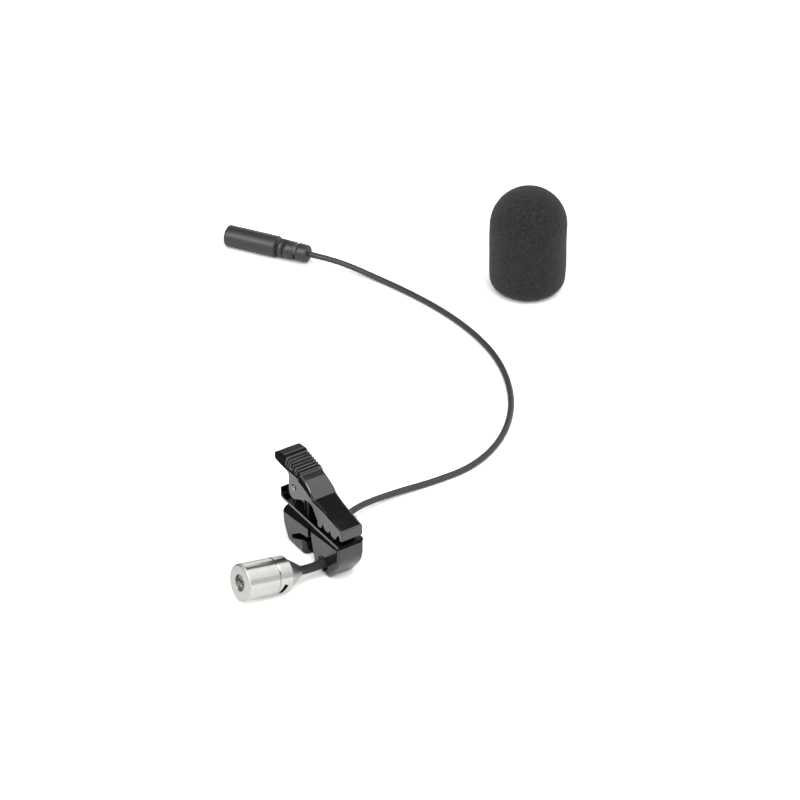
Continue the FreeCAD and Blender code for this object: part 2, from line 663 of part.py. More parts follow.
def lever_outline():
    """Side outline of the lever, from the lip's foot round the top to the tip, and back underneath."""
    teeth = []
    for index in range(TOOTH_COUNT):
        rear = TEETH_REAR_Y - index * TOOTH_PITCH
        crest_front = rear - TOOTH_CREST
        notch = rear - (TOOTH_PITCH + TOOTH_CREST) / 2
        teeth += [(rear, TOOTH_TIP, TOOTH_ROUND), (crest_front, TOOTH_TIP, TOOTH_ROUND)]
        if index < TOOTH_COUNT - 1:
            teeth.append((notch, TOOTH_TIP + TOOTH_DEPTH, TOOTH_ROUND))
    lip_rear = LEVER_FRONT_Y + LEVER_LIP_THICKNESS
    return (
        (LEVER_FRONT_Y, LEVER_LIP_BOTTOM, LEVER_EDGE_ROUND),
        (LEVER_FRONT_Y, LEVER_FRONT_TOP, LEVER_FRONT_ROUND),
        (LEVER_BREAK_Y, LEVER_BREAK_TOP, LEVER_BREAK_ROUND),
        (LEVER_CROWN_Y, LEVER_CROWN_TOP, LEVER_CROWN_ROUND),
        (LEVER_STEP_Y, LEVER_STEP_LOW, LEVER_EDGE_ROUND),
        (LEVER_STEP_Y, LEVER_STEP_HIGH, LEVER_EDGE_ROUND),
        (LEVER_PAD_Y, LEVER_PAD_TOP, LEVER_PAD_ROUND),
        (LEVER_PAD_SHOULDER_Y, LEVER_PAD_SHOULDER_TOP, LEVER_BREAK_ROUND),
        (LEVER_TIP_Y, LEVER_TIP_TOP, LEVER_TIP_ROUND),
        (LEVER_TIP_Y, LEVER_TIP_BOTTOM, LEVER_TIP_ROUND),
        (LEVER_EAR_REAR_Y, LEVER_TAIL_BOTTOM, LEVER_EAR_ROUND),
        (LEVER_EAR_REAR_Y, LEVER_EAR_BOTTOM, LEVER_EAR_REAR_ROUND),
        (LEVER_EAR_FRONT_Y, LEVER_EAR_BOTTOM, LEVER_EAR_ROUND),
        (LEVER_ARCH_REAR_Y, LEVER_ARCH_TOP, LEVER_ARCH_ROUND),
        (LEVER_ARCH_Y, LEVER_ARCH_TOP, LEVER_ARCH_ROUND),
        (LEVER_ARCH_FRONT_Y, TOOTH_TIP + TOOTH_DEPTH, LEVER_EAR_ROUND),
        *teeth,
        (lip_rear + LIP_NOTCH_DEPTH, LEVER_LIP_BOTTOM + LIP_NOTCH_HEIGHT, LIP_NOTCH_ROUND),
        (lip_rear, LEVER_LIP_BOTTOM, LEVER_EDGE_ROUND),
    )


def lever_hollow():
    """Inside of the lever, a wall below its top outline and open underneath."""
    wall = LEVER_TOP_WALL
    lip_rear = LEVER_FRONT_Y + LEVER_LIP_THICKNESS
    tail_front = LEVER_TIP_Y - 2 * wall
    below = TOOTH_TIP - CUT_MARGIN
    return block_across((
        (lip_rear, below, 0),
        (lip_rear, LEVER_FRONT_TOP - wall, LEVER_EDGE_ROUND),
        (LEVER_BREAK_Y, LEVER_BREAK_TOP - wall, LEVER_BREAK_ROUND),
        (LEVER_CROWN_Y, LEVER_CROWN_TOP - wall, LEVER_CROWN_ROUND - wall),
        (LEVER_STEP_Y, LEVER_STEP_LOW - wall, LEVER_EDGE_ROUND),
        (LEVER_PAD_Y, LEVER_PAD_TOP - RIB_HEIGHT - wall, LEVER_PAD_ROUND - wall),
        (LEVER_PAD_SHOULDER_Y - wall, LEVER_PAD_SHOULDER_TOP - wall, LEVER_BREAK_ROUND - wall),
        (tail_front, LEVER_TIP_BOTTOM, 0),
        (tail_front, below, 0),
    ), -LEVER_INSIDE, LEVER_INSIDE)


def between(first, last, share):
    """Values a share of the way from first to last."""
    return tuple(near + (far - near) * share for near, far in zip(first, last))


def rib_grooves():
    """Round grooves across the thumb pad and down its bevelled flanks, which leave its ribs."""
    slope = math.atan2(LEVER_PAD_TOP - LEVER_STEP_HIGH, LEVER_PAD_Y - LEVER_STEP_Y)
    grooves = []
    for index in range(RIB_COUNT):
        distance = (index + 1) * RIB_PITCH
        y = LEVER_STEP_Y + distance * math.cos(slope)
        top = LEVER_STEP_HIGH + distance * math.sin(slope)
        grooves.append(rod_across(y, top + GROOVE_RADIUS - RIB_HEIGHT, GROOVE_RADIUS, -LEVER_HALF, LEVER_HALF))
        share = (y - LEVER_STEP_Y) / (LEVER_PAD_Y - LEVER_STEP_Y)
        inset, drop = between(BEVEL_AT_STEP, BEVEL_AT_PAD, share)
        for side in (-1, 1):
            down = Vector(side * inset, 0, -drop).normalize()
            out = Vector(side * drop, 0, inset).normalize() * (GROOVE_RADIUS - RIB_HEIGHT)
            corner = Vector(side * (LEVER_HALF - inset), y, top)
            grooves.append(Part.makeCylinder(GROOVE_RADIUS, FLANK_GROOVE_SHARE * drop, corner + out, down))
    return grooves


def crown_point(share):
    """Point on the lever's convex stretch, as (Y, height), from its break to its step."""
    first = Vector(0, LEVER_BREAK_Y, LEVER_BREAK_TOP)
    control = Vector(0, LEVER_CROWN_Y, LEVER_CROWN_TOP)
    last = Vector(0, LEVER_STEP_Y, LEVER_STEP_LOW)
    before = first + (control - first) * share
    after = control + (last - control) * share
    point = before + (after - before) * share
    return point.y, point.z


def half_width_at(y):
    """Half of the lever's width at a distance Y, where it flares from its front to its ears."""
    share = (y - LEVER_FLARE_START_Y) / (LEVER_FLARE_END_Y - LEVER_FLARE_START_Y)
    return LEVER_FRONT_HALF + (LEVER_HALF - LEVER_FRONT_HALF) * min(1, max(0, share))


def edge_bevels():
    """Wedges that bevel both long top edges of the lever, from the lip to the step and on to the tip."""
    lip = (LEVER_FRONT_Y, LEVER_FRONT_TOP)
    edge = (LEVER_BREAK_Y, LEVER_BREAK_TOP)
    flare = between(lip, edge, (LEVER_FLARE_START_Y - LEVER_FRONT_Y) / (LEVER_BREAK_Y - LEVER_FRONT_Y))
    front = [(lip, BEVEL_AT_LIP), (flare, BEVEL_AT_FLARE)]
    for step in range(LEVER_CROWN_STEPS + 1):
        share = step / LEVER_CROWN_STEPS
        front.append((crown_point(share), between(BEVEL_AT_BREAK, BEVEL_AT_STEP, share)))
    rear = [
        ((LEVER_STEP_Y, LEVER_STEP_HIGH), BEVEL_AT_STEP),
        ((LEVER_PAD_Y, LEVER_PAD_TOP), BEVEL_AT_PAD),
        ((LEVER_PAD_SHOULDER_Y, LEVER_PAD_SHOULDER_TOP), BEVEL_AT_PAD),
        ((LEVER_TIP_Y, LEVER_TIP_TOP), BEVEL_AT_TIP),
    ]
    wedges = []
    for line in (front, rear):
        for side in (-1, 1):
            ends = [(Vector(side * half_width_at(y), y, z), inset, drop) for (y, z), (inset, drop) in line]
            wedges.append(bevel_wedge(ends, Vector(side, 0, 0), Vector(0, 0, 1)))
    return wedges


def thumb_lever():
    """Upper arm: a hollow lever with a ribbed thumb pad, cheeks with ears, an arch, and teeth."""
    side = block_across(lever_outline(), -LEVER_HALF, LEVER_HALF)
    plan = block_upright((
        (-LEVER_FRONT_HALF, LEVER_FRONT_Y, LEVER_FRONT_CORNER),
        (LEVER_FRONT_HALF, LEVER_FRONT_Y, LEVER_FRONT_CORNER),
        (LEVER_FRONT_HALF, LEVER_FLARE_START_Y, 0),
        (LEVER_HALF, LEVER_FLARE_END_Y, 0),
        (LEVER_HALF, LEVER_TIP_Y, LEVER_TAIL_CORNER),
        (-LEVER_HALF, LEVER_TIP_Y, LEVER_TAIL_CORNER),
        (-LEVER_HALF, LEVER_FLARE_END_Y, 0),
        (-LEVER_FRONT_HALF, LEVER_FLARE_START_Y, 0),
    ), TOOTH_TIP - CUT_MARGIN, LEVER_PAD_TOP + CUT_MARGIN)
    lever = side.common(plan)
    lever = lever.cut(lever_hollow())
    pin_hole = rod_across(PIVOT_Y, PIVOT_Z, PIN_RADIUS + PIN_CLEARANCE, -LEVER_HALF, LEVER_HALF)
    return lever.cut([pin_hole] + edge_bevels()).cut(rib_grooves())


def pivot_pin():
    """Steel pin through both pairs of ears, with a domed head at each end."""
    outside = LEVER_HALF + PIN_HEAD_GAP
    pin = rod_across(PIVOT_Y, PIVOT_Z, PIN_RADIUS, -outside, outside)
    for side in (-1, 1):
        head = Part.makeCone(
            PIN_HEAD_RADIUS, PIN_HEAD_TOP_RADIUS, PIN_HEAD_HEIGHT,
            Vector(side * outside, PIVOT_Y, PIVOT_Z), Vector(side, 0, 0)
        )
        pin = pin.fuse(head)
    return pin.removeSplitter()


def coil_point(angle):
    """Point and heading of the spring's coil at an angle in degrees about the pivot."""
    turn = math.radians(angle)
    middle = (SPRING_START_ANGLE + SPRING_END_ANGLE) / 2
    x = (angle - middle) / 360 * SPRING_PITCH
    point = Vector(
        x, PIVOT_Y + SPRING_RADIUS * math.cos(turn), PIVOT_Z + SPRING_RADIUS * math.sin(turn)
    )
    rise = SPRING_PITCH / (2 * math.pi)
    heading = Vector(rise, -SPRING_RADIUS * math.sin(turn), SPRING_RADIUS * math.cos(turn))
    return point, heading.normalize()


def arc_to(start, control, end):
    """Arc from start to end whose end tangents meet at control."""
    first = Vector(control - start).normalize()
    second = Vector(end - control).normalize()
    weight = math.cos(first.getAngle(second) / 2)
    middle = (start + control * (2 * weight) + end) * (1 / (2 + 2 * weight))
    return Part.Arc(start, middle, end).toShape()


def biarc(start, start_heading, end, end_heading):
    """Two tangent arcs between two points with given headings."""
    span = end - start
    total = start_heading + end_heading
    bend = 2 * (1 - start_heading.dot(end_heading))
    reach = (-span.dot(total) + math.sqrt(span.dot(total) ** 2 + bend * span.dot(span))) / bend
    first = start + start_heading * reach
    second = end - end_heading * reach
    middle = (first + second) * 0.5
    return [arc_to(start, first, middle), arc_to(middle, second, end)]


def torsion_spring():
    """Wound spring on the pin, with one leg on the lower jaw and one under the thumb pad."""
    start, start_heading = coil_point(SPRING_START_ANGLE)
    foot = start - start_heading * SPRING_LOWER_LEG
    edges = [Part.LineSegment(foot, start).toShape()]
    turns = (SPRING_END_ANGLE - SPRING_START_ANGLE) / 360
    steps = round(turns * SPRING_STEPS_PER_TURN)
    step = (SPRING_END_ANGLE - SPRING_START_ANGLE) / steps
    for index in range(steps):
        here, heading = coil_point(SPRING_START_ANGLE + index * step)
        there, next_heading = coil_point(SPRING_START_ANGLE + (index + 1) * step)
        edges += biarc(here, heading, there, next_heading)
    tip = there + next_heading * SPRING_UPPER_LEG
    edges.append(Part.LineSegment(there, tip).toShape())
    path = Part.Wire(edges)
    report_gap("torsion_spring", path, SPRING_WIRE_RADIUS, SPRING_RADIUS * math.pi)
    return sweep(path, SPRING_WIRE_RADIUS)


def report_gap(name, path, radius, apart):
    """Print the least gap of a wound bar to itself, measured on points along its line."""
    count = 240
    points = path.discretize(Number=count)
    pace = path.Length / (count - 1)
    least = min(
        points[first].distanceToPoint(points[second])
        for first in range(count)
        for second in range(first + math.ceil(apart / pace), count)
    )
    print(f"{name}: least gap to itself {least - 2 * radius:.2f} mm")


def socket_barrel():
    """Moulded barrel, open at its end, with a bore for the contacts' carrier."""
    barrel = turned((
        (RELIEF_LENGTH, RELIEF_SPIGOT_RADIUS, 0),
        (RELIEF_LENGTH, BARREL_RADIUS, BARREL_REAR_ROUND),
        (JACK_END, BARREL_RADIUS, BARREL_EDGE_ROUND),
        (JACK_END, BARREL_BORE_RADIUS, 0),
        (CARRIER_START, BARREL_BORE_RADIUS, 0),
        (CARRIER_START, RELIEF_SPIGOT_RADIUS, 0),
    ))
    return on_jack(barrel)


def relief_gaps():
    """Rings to cut from the strain relief; its bridges turn by a quarter from one gap to the next."""
    gaps = []
    for index, (centre, width) in enumerate(zip(RELIEF_GAP_CENTRES, RELIEF_GAP_WIDTHS)):
        start = centre - width / 2
        ring = tube(start, start + width, RELIEF_RADIUS + CUT_MARGIN, RELIEF_CORE_RADIUS)
        bridge = Part.makeBox(
            width, RELIEF_BRIDGE_WIDTH, 2 * RELIEF_BRIDGE_RADIUS,
            Vector(start, -RELIEF_BRIDGE_WIDTH / 2, -RELIEF_BRIDGE_RADIUS)
        )
        if index % 2:
            bridge.rotate(Vector(0, 0, 0), Vector(1, 0, 0), 90)
        gaps.append(ring.cut(bridge))
    return gaps


def socket_strain_relief():
    """Moulded relief: a core that ends the free cable, with rings that gaps and bridges part."""
    relief = turned((
        (0, 0, 0),
        (0, RELIEF_END_RADIUS, RELIEF_END_ROUND),
        (RELIEF_LENGTH, RELIEF_RADIUS, 0),
        (RELIEF_LENGTH, RELIEF_SPIGOT_RADIUS - FIT_GAP, 0),
        (CARRIER_START, RELIEF_SPIGOT_RADIUS - FIT_GAP, 0),
        (CARRIER_START, 0, 0),
    ))
    return on_jack(relief.cut(relief_gaps()))


def socket_nose():
    """Metal bushing of the jack, the sleeve contact, with its bore for the plug."""
    start = JACK_END - NOSE_RECESS - NOSE_LENGTH
    return on_jack(tube(start, start + NOSE_LENGTH, BARREL_BORE_RADIUS - FIT_GAP, JACK_BORE_RADIUS))


def contact_leaf(index, inner, outer, width):
    """Bar beside the plug's bore, from the carrier's open end; leaf 0 is the tip's, 1 the ring's."""
    end = CARRIER_START + CARRIER_LENGTH
    length = CONTACT_LENGTHS[index]
    leaf = Part.makeBox(length, width, outer - inner, Vector(end - length, -width / 2, inner))
    return leaf.rotate(Vector(0, 0, 0), Vector(1, 0, 0), 180 * index)


def contact_shape(index):
    """One leaf contact, just clear of the plug's bore."""
    inner = JACK_BORE_RADIUS + CONTACT_CLEARANCE
    return on_jack(contact_leaf(index, inner, inner + CONTACT_THICKNESS, CONTACT_WIDTH))


def socket_insulator():
    """Plastic carrier of the contacts, with the plug's bore and an open slot for each leaf."""
    end = CARRIER_START + CARRIER_LENGTH
    carrier = tube(CARRIER_START, end, BARREL_BORE_RADIUS - FIT_GAP)
    bore = tube(JACK_END - JACK_BORE_DEPTH, end, JACK_BORE_RADIUS)
    slot_top = JACK_BORE_RADIUS + CONTACT_THICKNESS + 2 * CONTACT_CLEARANCE
    slots = [
        contact_leaf(index, JACK_BORE_RADIUS / 2, slot_top, CONTACT_WIDTH + 2 * CONTACT_CLEARANCE)
        for index in range(len(CONTACT_LENGTHS))
    ]
    return on_jack(carrier.cut([bore] + slots))


def tip_contact():
    """Leaf contact for the plug's tip."""
    return contact_shape(0)


def ring_contact():
    """Leaf contact for the plug's ring."""
    return contact_shape(1)


def foam_windscreen():
    """Foam cover with a domed top, a rounded foot and a bore for the capsule."""
    crown = FOAM_HEIGHT - FOAM_RADIUS
    foot_round = FOAM_RADIUS - FOAM_RIM_RADIUS
    bend = foot_round * (1 - math.sqrt(0.5))
    top = FOAM_RADIUS * math.sqrt(0.5)
    points = [
        Vector(FOAM_BORE_RADIUS, 0, 0),
        Vector(FOAM_RIM_RADIUS, 0, 0),
        Vector(FOAM_RADIUS - bend, 0, bend),
        Vector(FOAM_RADIUS, 0, foot_round),
        Vector(FOAM_RADIUS, 0, crown),
        Vector(top, 0, crown + top),
        Vector(0, 0, FOAM_HEIGHT),
        Vector(0, 0, FOAM_BORE_DEPTH),
        Vector(FOAM_BORE_RADIUS, 0, FOAM_BORE_DEPTH),
    ]
    edges = [
        Part.LineSegment(points[0], points[1]).toShape(),
        Part.Arc(points[1], points[2], points[3]).toShape(),
        Part.LineSegment(points[3], points[4]).toShape(),
        Part.Arc(points[4], points[5], points[6]).toShape(),
        Part.LineSegment(points[6], points[7]).toShape(),
        Part.LineSegment(points[7], points[8]).toShape(),
        Part.LineSegment(points[8], points[0]).toShape(),
    ]
    foam = Part.Face(Part.Wire(edges)).revolve(Vector(0, 0, 0), Vector(0, 0, 1), 360)
    foam.translate(Vector(FOAM_X, FOAM_Y, 0))
    return foam


def cable_route():
    """Points of the free cable, from the holder's side to the strain relief's end."""
    heading = math.radians(JACK_HEADING)
    jack = Vector(JACK_X, JACK_Y, JACK_HEIGHT)
    before_jack = jack - Vector(math.cos(heading), math.sin(heading), 0) * EXIT_RUN
    return [CABLE_EXIT, CABLE_EXIT + Vector(EXIT_RUN, 0, 0), *CABLE_POINTS, before_jack, jack]


def cable():
    """Free cable: straight runs joined by arcs as large as the runs allow."""
    points = cable_route()
    radii = [0]
    for before, corner, after in zip(points, points[1:], points[2:]):
        run = min((corner - before).Length, (after - corner).Length)
        half_turn = (corner - before).getAngle(after - corner) / 2
        radii.append(ARC_SHARE * run / math.tan(half_turn))
    radii.append(0)
    path = rounded_path(points, radii, False)
    solid = sweep(path, CABLE_RADIUS)
    section = math.pi * CABLE_RADIUS ** 2
    print("cable: radii", " ".join(f"{radius:.0f}" for radius in radii[1:-1]))
    print(f"cable: length {path.Length:.1f} mm, volume / (section x length) "
          f"{solid.Volume / (section * path.Length):.4f}")
    return solid


PIECES = (
    front_shell,
    front_grille,
    dust_felt,
    element_gasket,
    electret_element,
    element_board,
    rear_ring,
    tail_cone,
    strain_boot,
    cable_tail,
    cable_holder,
    swivel_rivet,
    swivel_washer,
    lower_jaw,
    thumb_lever,
    pivot_pin,
    torsion_spring,
    cable,
    socket_strain_relief,
    socket_barrel,
    socket_insulator,
    socket_nose,
    tip_contact,
    ring_contact,
    foam_windscreen,
)

os.makedirs("parts", exist_ok=True)
for piece in PIECES:
    shape = piece()
    if shape.ShapeType == "Compound" and len(shape.Solids) == 1:
        shape = shape.Solids[0]
    print(f"{piece.__name__}: {len(shape.Solids)} solid, {shape.Volume:.2f} mm3, valid {shape.isValid()}")
    shape.exportStep(f"parts/{piece.__name__}.step")
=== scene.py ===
# A clip-on lavalier microphone on a white table: nickel capsule, black spring clip, thin cable
# with an inline jack, and a foam windscreen beside it. Metres, +Z up, in the frame of the model.
import math
import bmesh
import bpy
from mathutils import Matrix, Vector, noise


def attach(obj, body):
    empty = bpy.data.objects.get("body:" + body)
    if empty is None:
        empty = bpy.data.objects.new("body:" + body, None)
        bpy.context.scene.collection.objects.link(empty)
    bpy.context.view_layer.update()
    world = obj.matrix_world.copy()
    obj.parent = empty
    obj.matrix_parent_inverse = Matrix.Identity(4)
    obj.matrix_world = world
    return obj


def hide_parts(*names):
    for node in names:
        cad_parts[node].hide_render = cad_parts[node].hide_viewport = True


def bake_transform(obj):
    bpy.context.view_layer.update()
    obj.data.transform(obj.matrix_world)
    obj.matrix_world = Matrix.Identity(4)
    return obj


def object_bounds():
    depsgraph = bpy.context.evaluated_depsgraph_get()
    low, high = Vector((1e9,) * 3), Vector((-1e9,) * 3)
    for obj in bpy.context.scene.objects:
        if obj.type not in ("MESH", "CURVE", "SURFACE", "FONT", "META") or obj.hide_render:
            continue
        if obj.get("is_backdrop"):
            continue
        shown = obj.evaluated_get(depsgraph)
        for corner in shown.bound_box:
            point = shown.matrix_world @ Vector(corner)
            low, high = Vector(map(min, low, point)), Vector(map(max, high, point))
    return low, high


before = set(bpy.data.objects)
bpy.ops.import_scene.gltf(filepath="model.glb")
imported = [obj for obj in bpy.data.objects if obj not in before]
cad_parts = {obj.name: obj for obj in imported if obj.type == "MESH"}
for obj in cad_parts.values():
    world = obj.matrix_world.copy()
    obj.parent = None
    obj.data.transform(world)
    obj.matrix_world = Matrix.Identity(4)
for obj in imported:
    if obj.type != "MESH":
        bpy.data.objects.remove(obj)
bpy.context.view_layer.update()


# The view. The photograph was taken with a long lens from the left, a third of the way up,
# with the clip near the lower left and the windscreen at the upper right.
CAMERA_PLACE = Vector((-0.355573, -0.574691, 0.508306))
CAMERA_TARGET = Vector((0.061460, 0.052994, 0.0))
LENS = 135.0
SENSOR_WIDTH = 36.0
NEAR_LIMIT = 0.01

camera_data = bpy.data.cameras.new("camera")
camera_data.lens = LENS
camera_data.sensor_width = SENSOR_WIDTH
camera_data.clip_start = NEAR_LIMIT
camera = bpy.data.objects.new("camera", camera_data)
camera.location = CAMERA_PLACE
camera.rotation_euler = (CAMERA_TARGET - CAMERA_PLACE).to_track_quat("-Z", "Y").to_euler()
bpy.context.scene.collection.objects.link(camera)
bpy.context.scene.camera = camera
bpy.context.scene.view_settings.view_transform = "Standard"


# The cable: stranded microphone lead, 1.9 mm across, in a dark grey PVC jacket that was extruded
# through a die, so it is satin and smooth along its length. It leaves the clip's holder and lies
# limp on the table in one wide turn.
CABLE_ORDER = 3
# A millimetre in metres, and a pattern's scale for one feature in each millimetre.
MM = 0.001
PER_MM = 1000.0
CABLE_DIAMETER = 1.9 * MM
# The cable's way out of the holder and its route, in millimetres.
CABLE_EXIT = (4.25, 7.2, 3.4)
CABLE_ROUTE = (
    CABLE_EXIT,
    (10.45, 7.2, 3.4),
    (19.6, 11.0, 2.9),
    (32.5, 12.2, 1.5),
    (45.5, 11.0, 1.0),
    (59.0, 10.9, 1.0),
    (72.4, 16.4, 1.0),
    (84.4, 26.8, 1.0),
    (93.1, 40.0, 1.0),
    (98.7, 54.7, 1.0),
    (100.7, 70.1, 1.0),
    (100.0, 85.7, 1.0),
    (97.2, 100.7, 1.0),
    (93.2, 114.2, 1.2),
    (88.4, 124.2, 2.6),
    (84.113, 130.159, 3.55),
    (80.8, 135.4, 3.55),
)


def colour(code):
    """Linear colour of an sRGB hex code such as #4a4a4c."""
    shades = [int(code[place:place + 2], 16) / 255 for place in (1, 3, 5)]
    linear = [
        shade / 12.92 if shade <= 0.04045 else ((shade + 0.055) / 1.055) ** 2.4
        for shade in shades]
    return linear + [1.0]


def blank_material(name):
    """New material with an empty node tree."""
    material = bpy.data.materials.new(name)
    material.use_nodes = True
    material.node_tree.nodes.clear()
    return material, material.node_tree


def add(tree, kind, settings, links):
    """One node with its settings and its inputs, each a value or another node's output."""
    node = tree.nodes.new("ShaderNode" + kind)
    for name, value in settings.items():
        setattr(node, name, value)
    for name, value in links.items():
        if isinstance(value, bpy.types.NodeSocket):
            tree.links.new(value, node.inputs[name])
        else:
            node.inputs[name].default_value = value
    return node


def jacket_pvc():
    """Extruded PVC: satin dark grey, with clouds of plasticiser 4 mm wide and scuffs of 0.24 mm."""
    material, tree = blank_material("jacket_pvc")
    place = add(tree, "TexCoord", {}, {}).outputs["Object"]
    cloud = add(tree, "TexNoise", {}, {"Vector": place, "Scale": 0.26 * PER_MM, "Detail": 4.0})
    tint = add(tree, "Mix", {"data_type": "RGBA"}, {
        "Factor": cloud.outputs["Fac"],
        "A": colour("#3b3b3d"),
        "B": colour("#4a4a4d")})
    grain = add(tree, "TexNoise", {}, {"Vector": place, "Scale": 4.2 * PER_MM, "Detail": 3.0})
    gloss = add(tree, "MapRange", {}, {
        "Value": cloud.outputs["Fac"],
        "To Min": 0.36,
        "To Max": 0.5})
    relief = add(tree, "Bump", {}, {
        "Height": grain.outputs["Fac"],
        "Strength": 0.12,
        "Distance": 0.03 * MM})
    shader = add(tree, "BsdfPrincipled", {}, {
        "Base Color": tint.outputs["Result"],
        "Roughness": gloss.outputs["Result"],
        "IOR": 1.53,
        "Normal": relief.outputs["Normal"]})
    add(tree, "OutputMaterial", {}, {"Surface": shader.outputs["BSDF"]})
    return material


cable_curve = bpy.data.curves.new("cable_run", "CURVE")
cable_curve.dimensions = "3D"
cable_curve.bevel_depth = CABLE_DIAMETER / 2
cable_curve.bevel_resolution = 6
cable_curve.use_fill_caps = True
cable_line = cable_curve.splines.new("NURBS")
cable_line.points.add(len(CABLE_ROUTE) - 1)
for point, place in zip(cable_line.points, CABLE_ROUTE):
    point.co = (*(value * MM for value in place), 1.0)
cable_line.order_u = CABLE_ORDER
cable_line.use_endpoint_u = True
cable_line.resolution_u = 16
cable = bpy.data.objects.new("cable_run", cable_curve)
bpy.context.scene.collection.objects.link(cable)
JACKET = jacket_pvc()
cable_curve.materials.append(JACKET)
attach(cable, "holder")
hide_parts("cable")


# The inline jack: a barrel moulded on the end of the cable, and behind it a slotted strain
# relief of the same PVC, turned about the cable so that its gaps show as in the photograph. A
# plastic carrier, two gilt contacts and a nickel bushing are pressed in at the open end.
JACK_FOOT = Vector((80.8, 135.4, 3.55)) * MM
JACK_HEADING = math.radians(122.3)
RELIEF_TURN = math.radians(-54.0)
RELIEF_SMOOTH = math.radians(30.0)
WELD = 0.002 * MM


def varied(name, shades, patches, roughness, grain, depth, settings):
    """Material with two shades in soft patches, a range of roughness and a fine grain in relief."""
    material, tree = blank_material(name)
    place = add(tree, "TexCoord", {}, {}).outputs["Object"]
    cloud = add(tree, "TexNoise", {}, {"Vector": place, "Scale": patches, "Detail": 4.0})
    tint = add(tree, "Mix", {"data_type": "RGBA"}, {
        "Factor": cloud.outputs["Fac"],
        "A": colour(shades[0]),
        "B": colour(shades[1])})
    gloss = add(tree, "MapRange", {}, {
        "Value": cloud.outputs["Fac"],
        "To Min": roughness[0],
        "To Max": roughness[1]})
    pits = add(tree, "TexNoise", {}, {"Vector": place, "Scale": grain, "Detail": 2.0})
    relief = add(tree, "Bump", {}, {
        "Height": pits.outputs["Fac"],
        "Strength": 0.3,
        "Distance": depth})
    shader = add(tree, "BsdfPrincipled", {}, {
        "Base Color": tint.outputs["Result"],
        "Roughness": gloss.outputs["Result"],
        "Normal": relief.outputs["Normal"],
        **settings})
    add(tree, "OutputMaterial", {}, {"Surface": shader.outputs["BSDF"]})
    return material


def dress(material, *nodes):
    """Give nodes of the model their finish."""
    for node in nodes:
        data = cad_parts[node].data
        data.materials.clear()
        data.materials.append(material)


def merged_copy(node, name):
    """New object with a merged copy of a node's mesh, selected and active."""
    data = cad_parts[node].data.copy()
    data.name = name
    form = bmesh.new()
    form.from_mesh(data)
    bmesh.ops.remove_doubles(form, verts=form.verts, dist=WELD)
    form.to_mesh(data)
    form.free()
    piece = bpy.data.objects.new(name, data)
    bpy.context.scene.collection.objects.link(piece)
    bpy.ops.object.select_all(action="DESELECT")
    piece.select_set(True)
    bpy.context.view_layer.objects.active = piece
    return piece


# Injection-moulded PVC: a long soft highlight and a faint grain from the mould.
MOULDED_PVC = varied(
    "moulded_pvc",
    shades=("#3d3d41", "#4a4a4f"),
    patches=0.24 * PER_MM,
    roughness=(0.30, 0.42),
    grain=5.2 * PER_MM,
    depth=0.04 * MM,
    settings={"IOR": 1.53})
# Moulded carrier: nearly black and half matt.
CARRIER_PLASTIC = varied(
    "carrier_plastic",
    shades=("#19191b", "#212124"),
    patches=0.4 * PER_MM,
    roughness=(0.4, 0.5),
    grain=6.0 * PER_MM,
    depth=0.02 * MM,
    settings={})
# Nickel plate on a turned bushing: bright, with small sharp highlights.
BUSHING_PLATE = varied(
    "bushing_plate",
    shades=("#b9b6b0", "#cbc8c2"),
    patches=0.5 * PER_MM,
    roughness=(0.16, 0.26),
    grain=9.0 * PER_MM,
    depth=0.01 * MM,
    settings={"Metallic": 1.0})
# Gilt phosphor bronze, stamped: warm yellow and half bright.
GILT_BRONZE = varied(
    "gilt_bronze",
    shades=("#b98f4a", "#cfa75e"),
    patches=0.7 * PER_MM,
    roughness=(0.22, 0.32),
    grain=9.0 * PER_MM,
    depth=0.01 * MM,
    settings={"Metallic": 1.0})
dress(MOULDED_PVC, "socket_barrel")
dress(CARRIER_PLASTIC, "socket_insulator")
dress(BUSHING_PLATE, "socket_nose")
dress(GILT_BRONZE, "tip_contact", "ring_contact")

jack_axis = Vector((math.cos(JACK_HEADING), math.sin(JACK_HEADING), 0.0))
to_foot = Matrix.Translation(JACK_FOOT)
turned = Matrix.Rotation(RELIEF_TURN, 4, jack_axis)
relief = merged_copy("socket_strain_relief", "slotted_relief")
relief.data.transform(to_foot @ turned @ to_foot.inverted())
relief.data.materials.clear()
relief.data.materials.append(MOULDED_PVC)
bpy.ops.object.shade_smooth_by_angle(angle=RELIEF_SMOOTH)
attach(relief, "holder")
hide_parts("socket_strain_relief")


# The capsule: a shell, a slotted ring and a cone, turned from brass, plated in satin nickel and
# pressed together. A dulled steel grille closes the sound hole from inside, with the felt, the
# gasket, the aluminium can and its board stacked behind it. It lies with its nose tilted up.
CAPSULE_TILT = math.radians(11.5)
CAPSULE_NOSE = Vector((-math.cos(CAPSULE_TILT), 0.0, math.sin(CAPSULE_TILT)))
# The faces of the shell's rounded rims look along the nose by a share between these, and the
# rim round each painted-shade pit in the grille lies between these shares of its cell.
RIM_FACING = (0.15, 0.98)
HOLE_RIM = (0.4, 0.62)


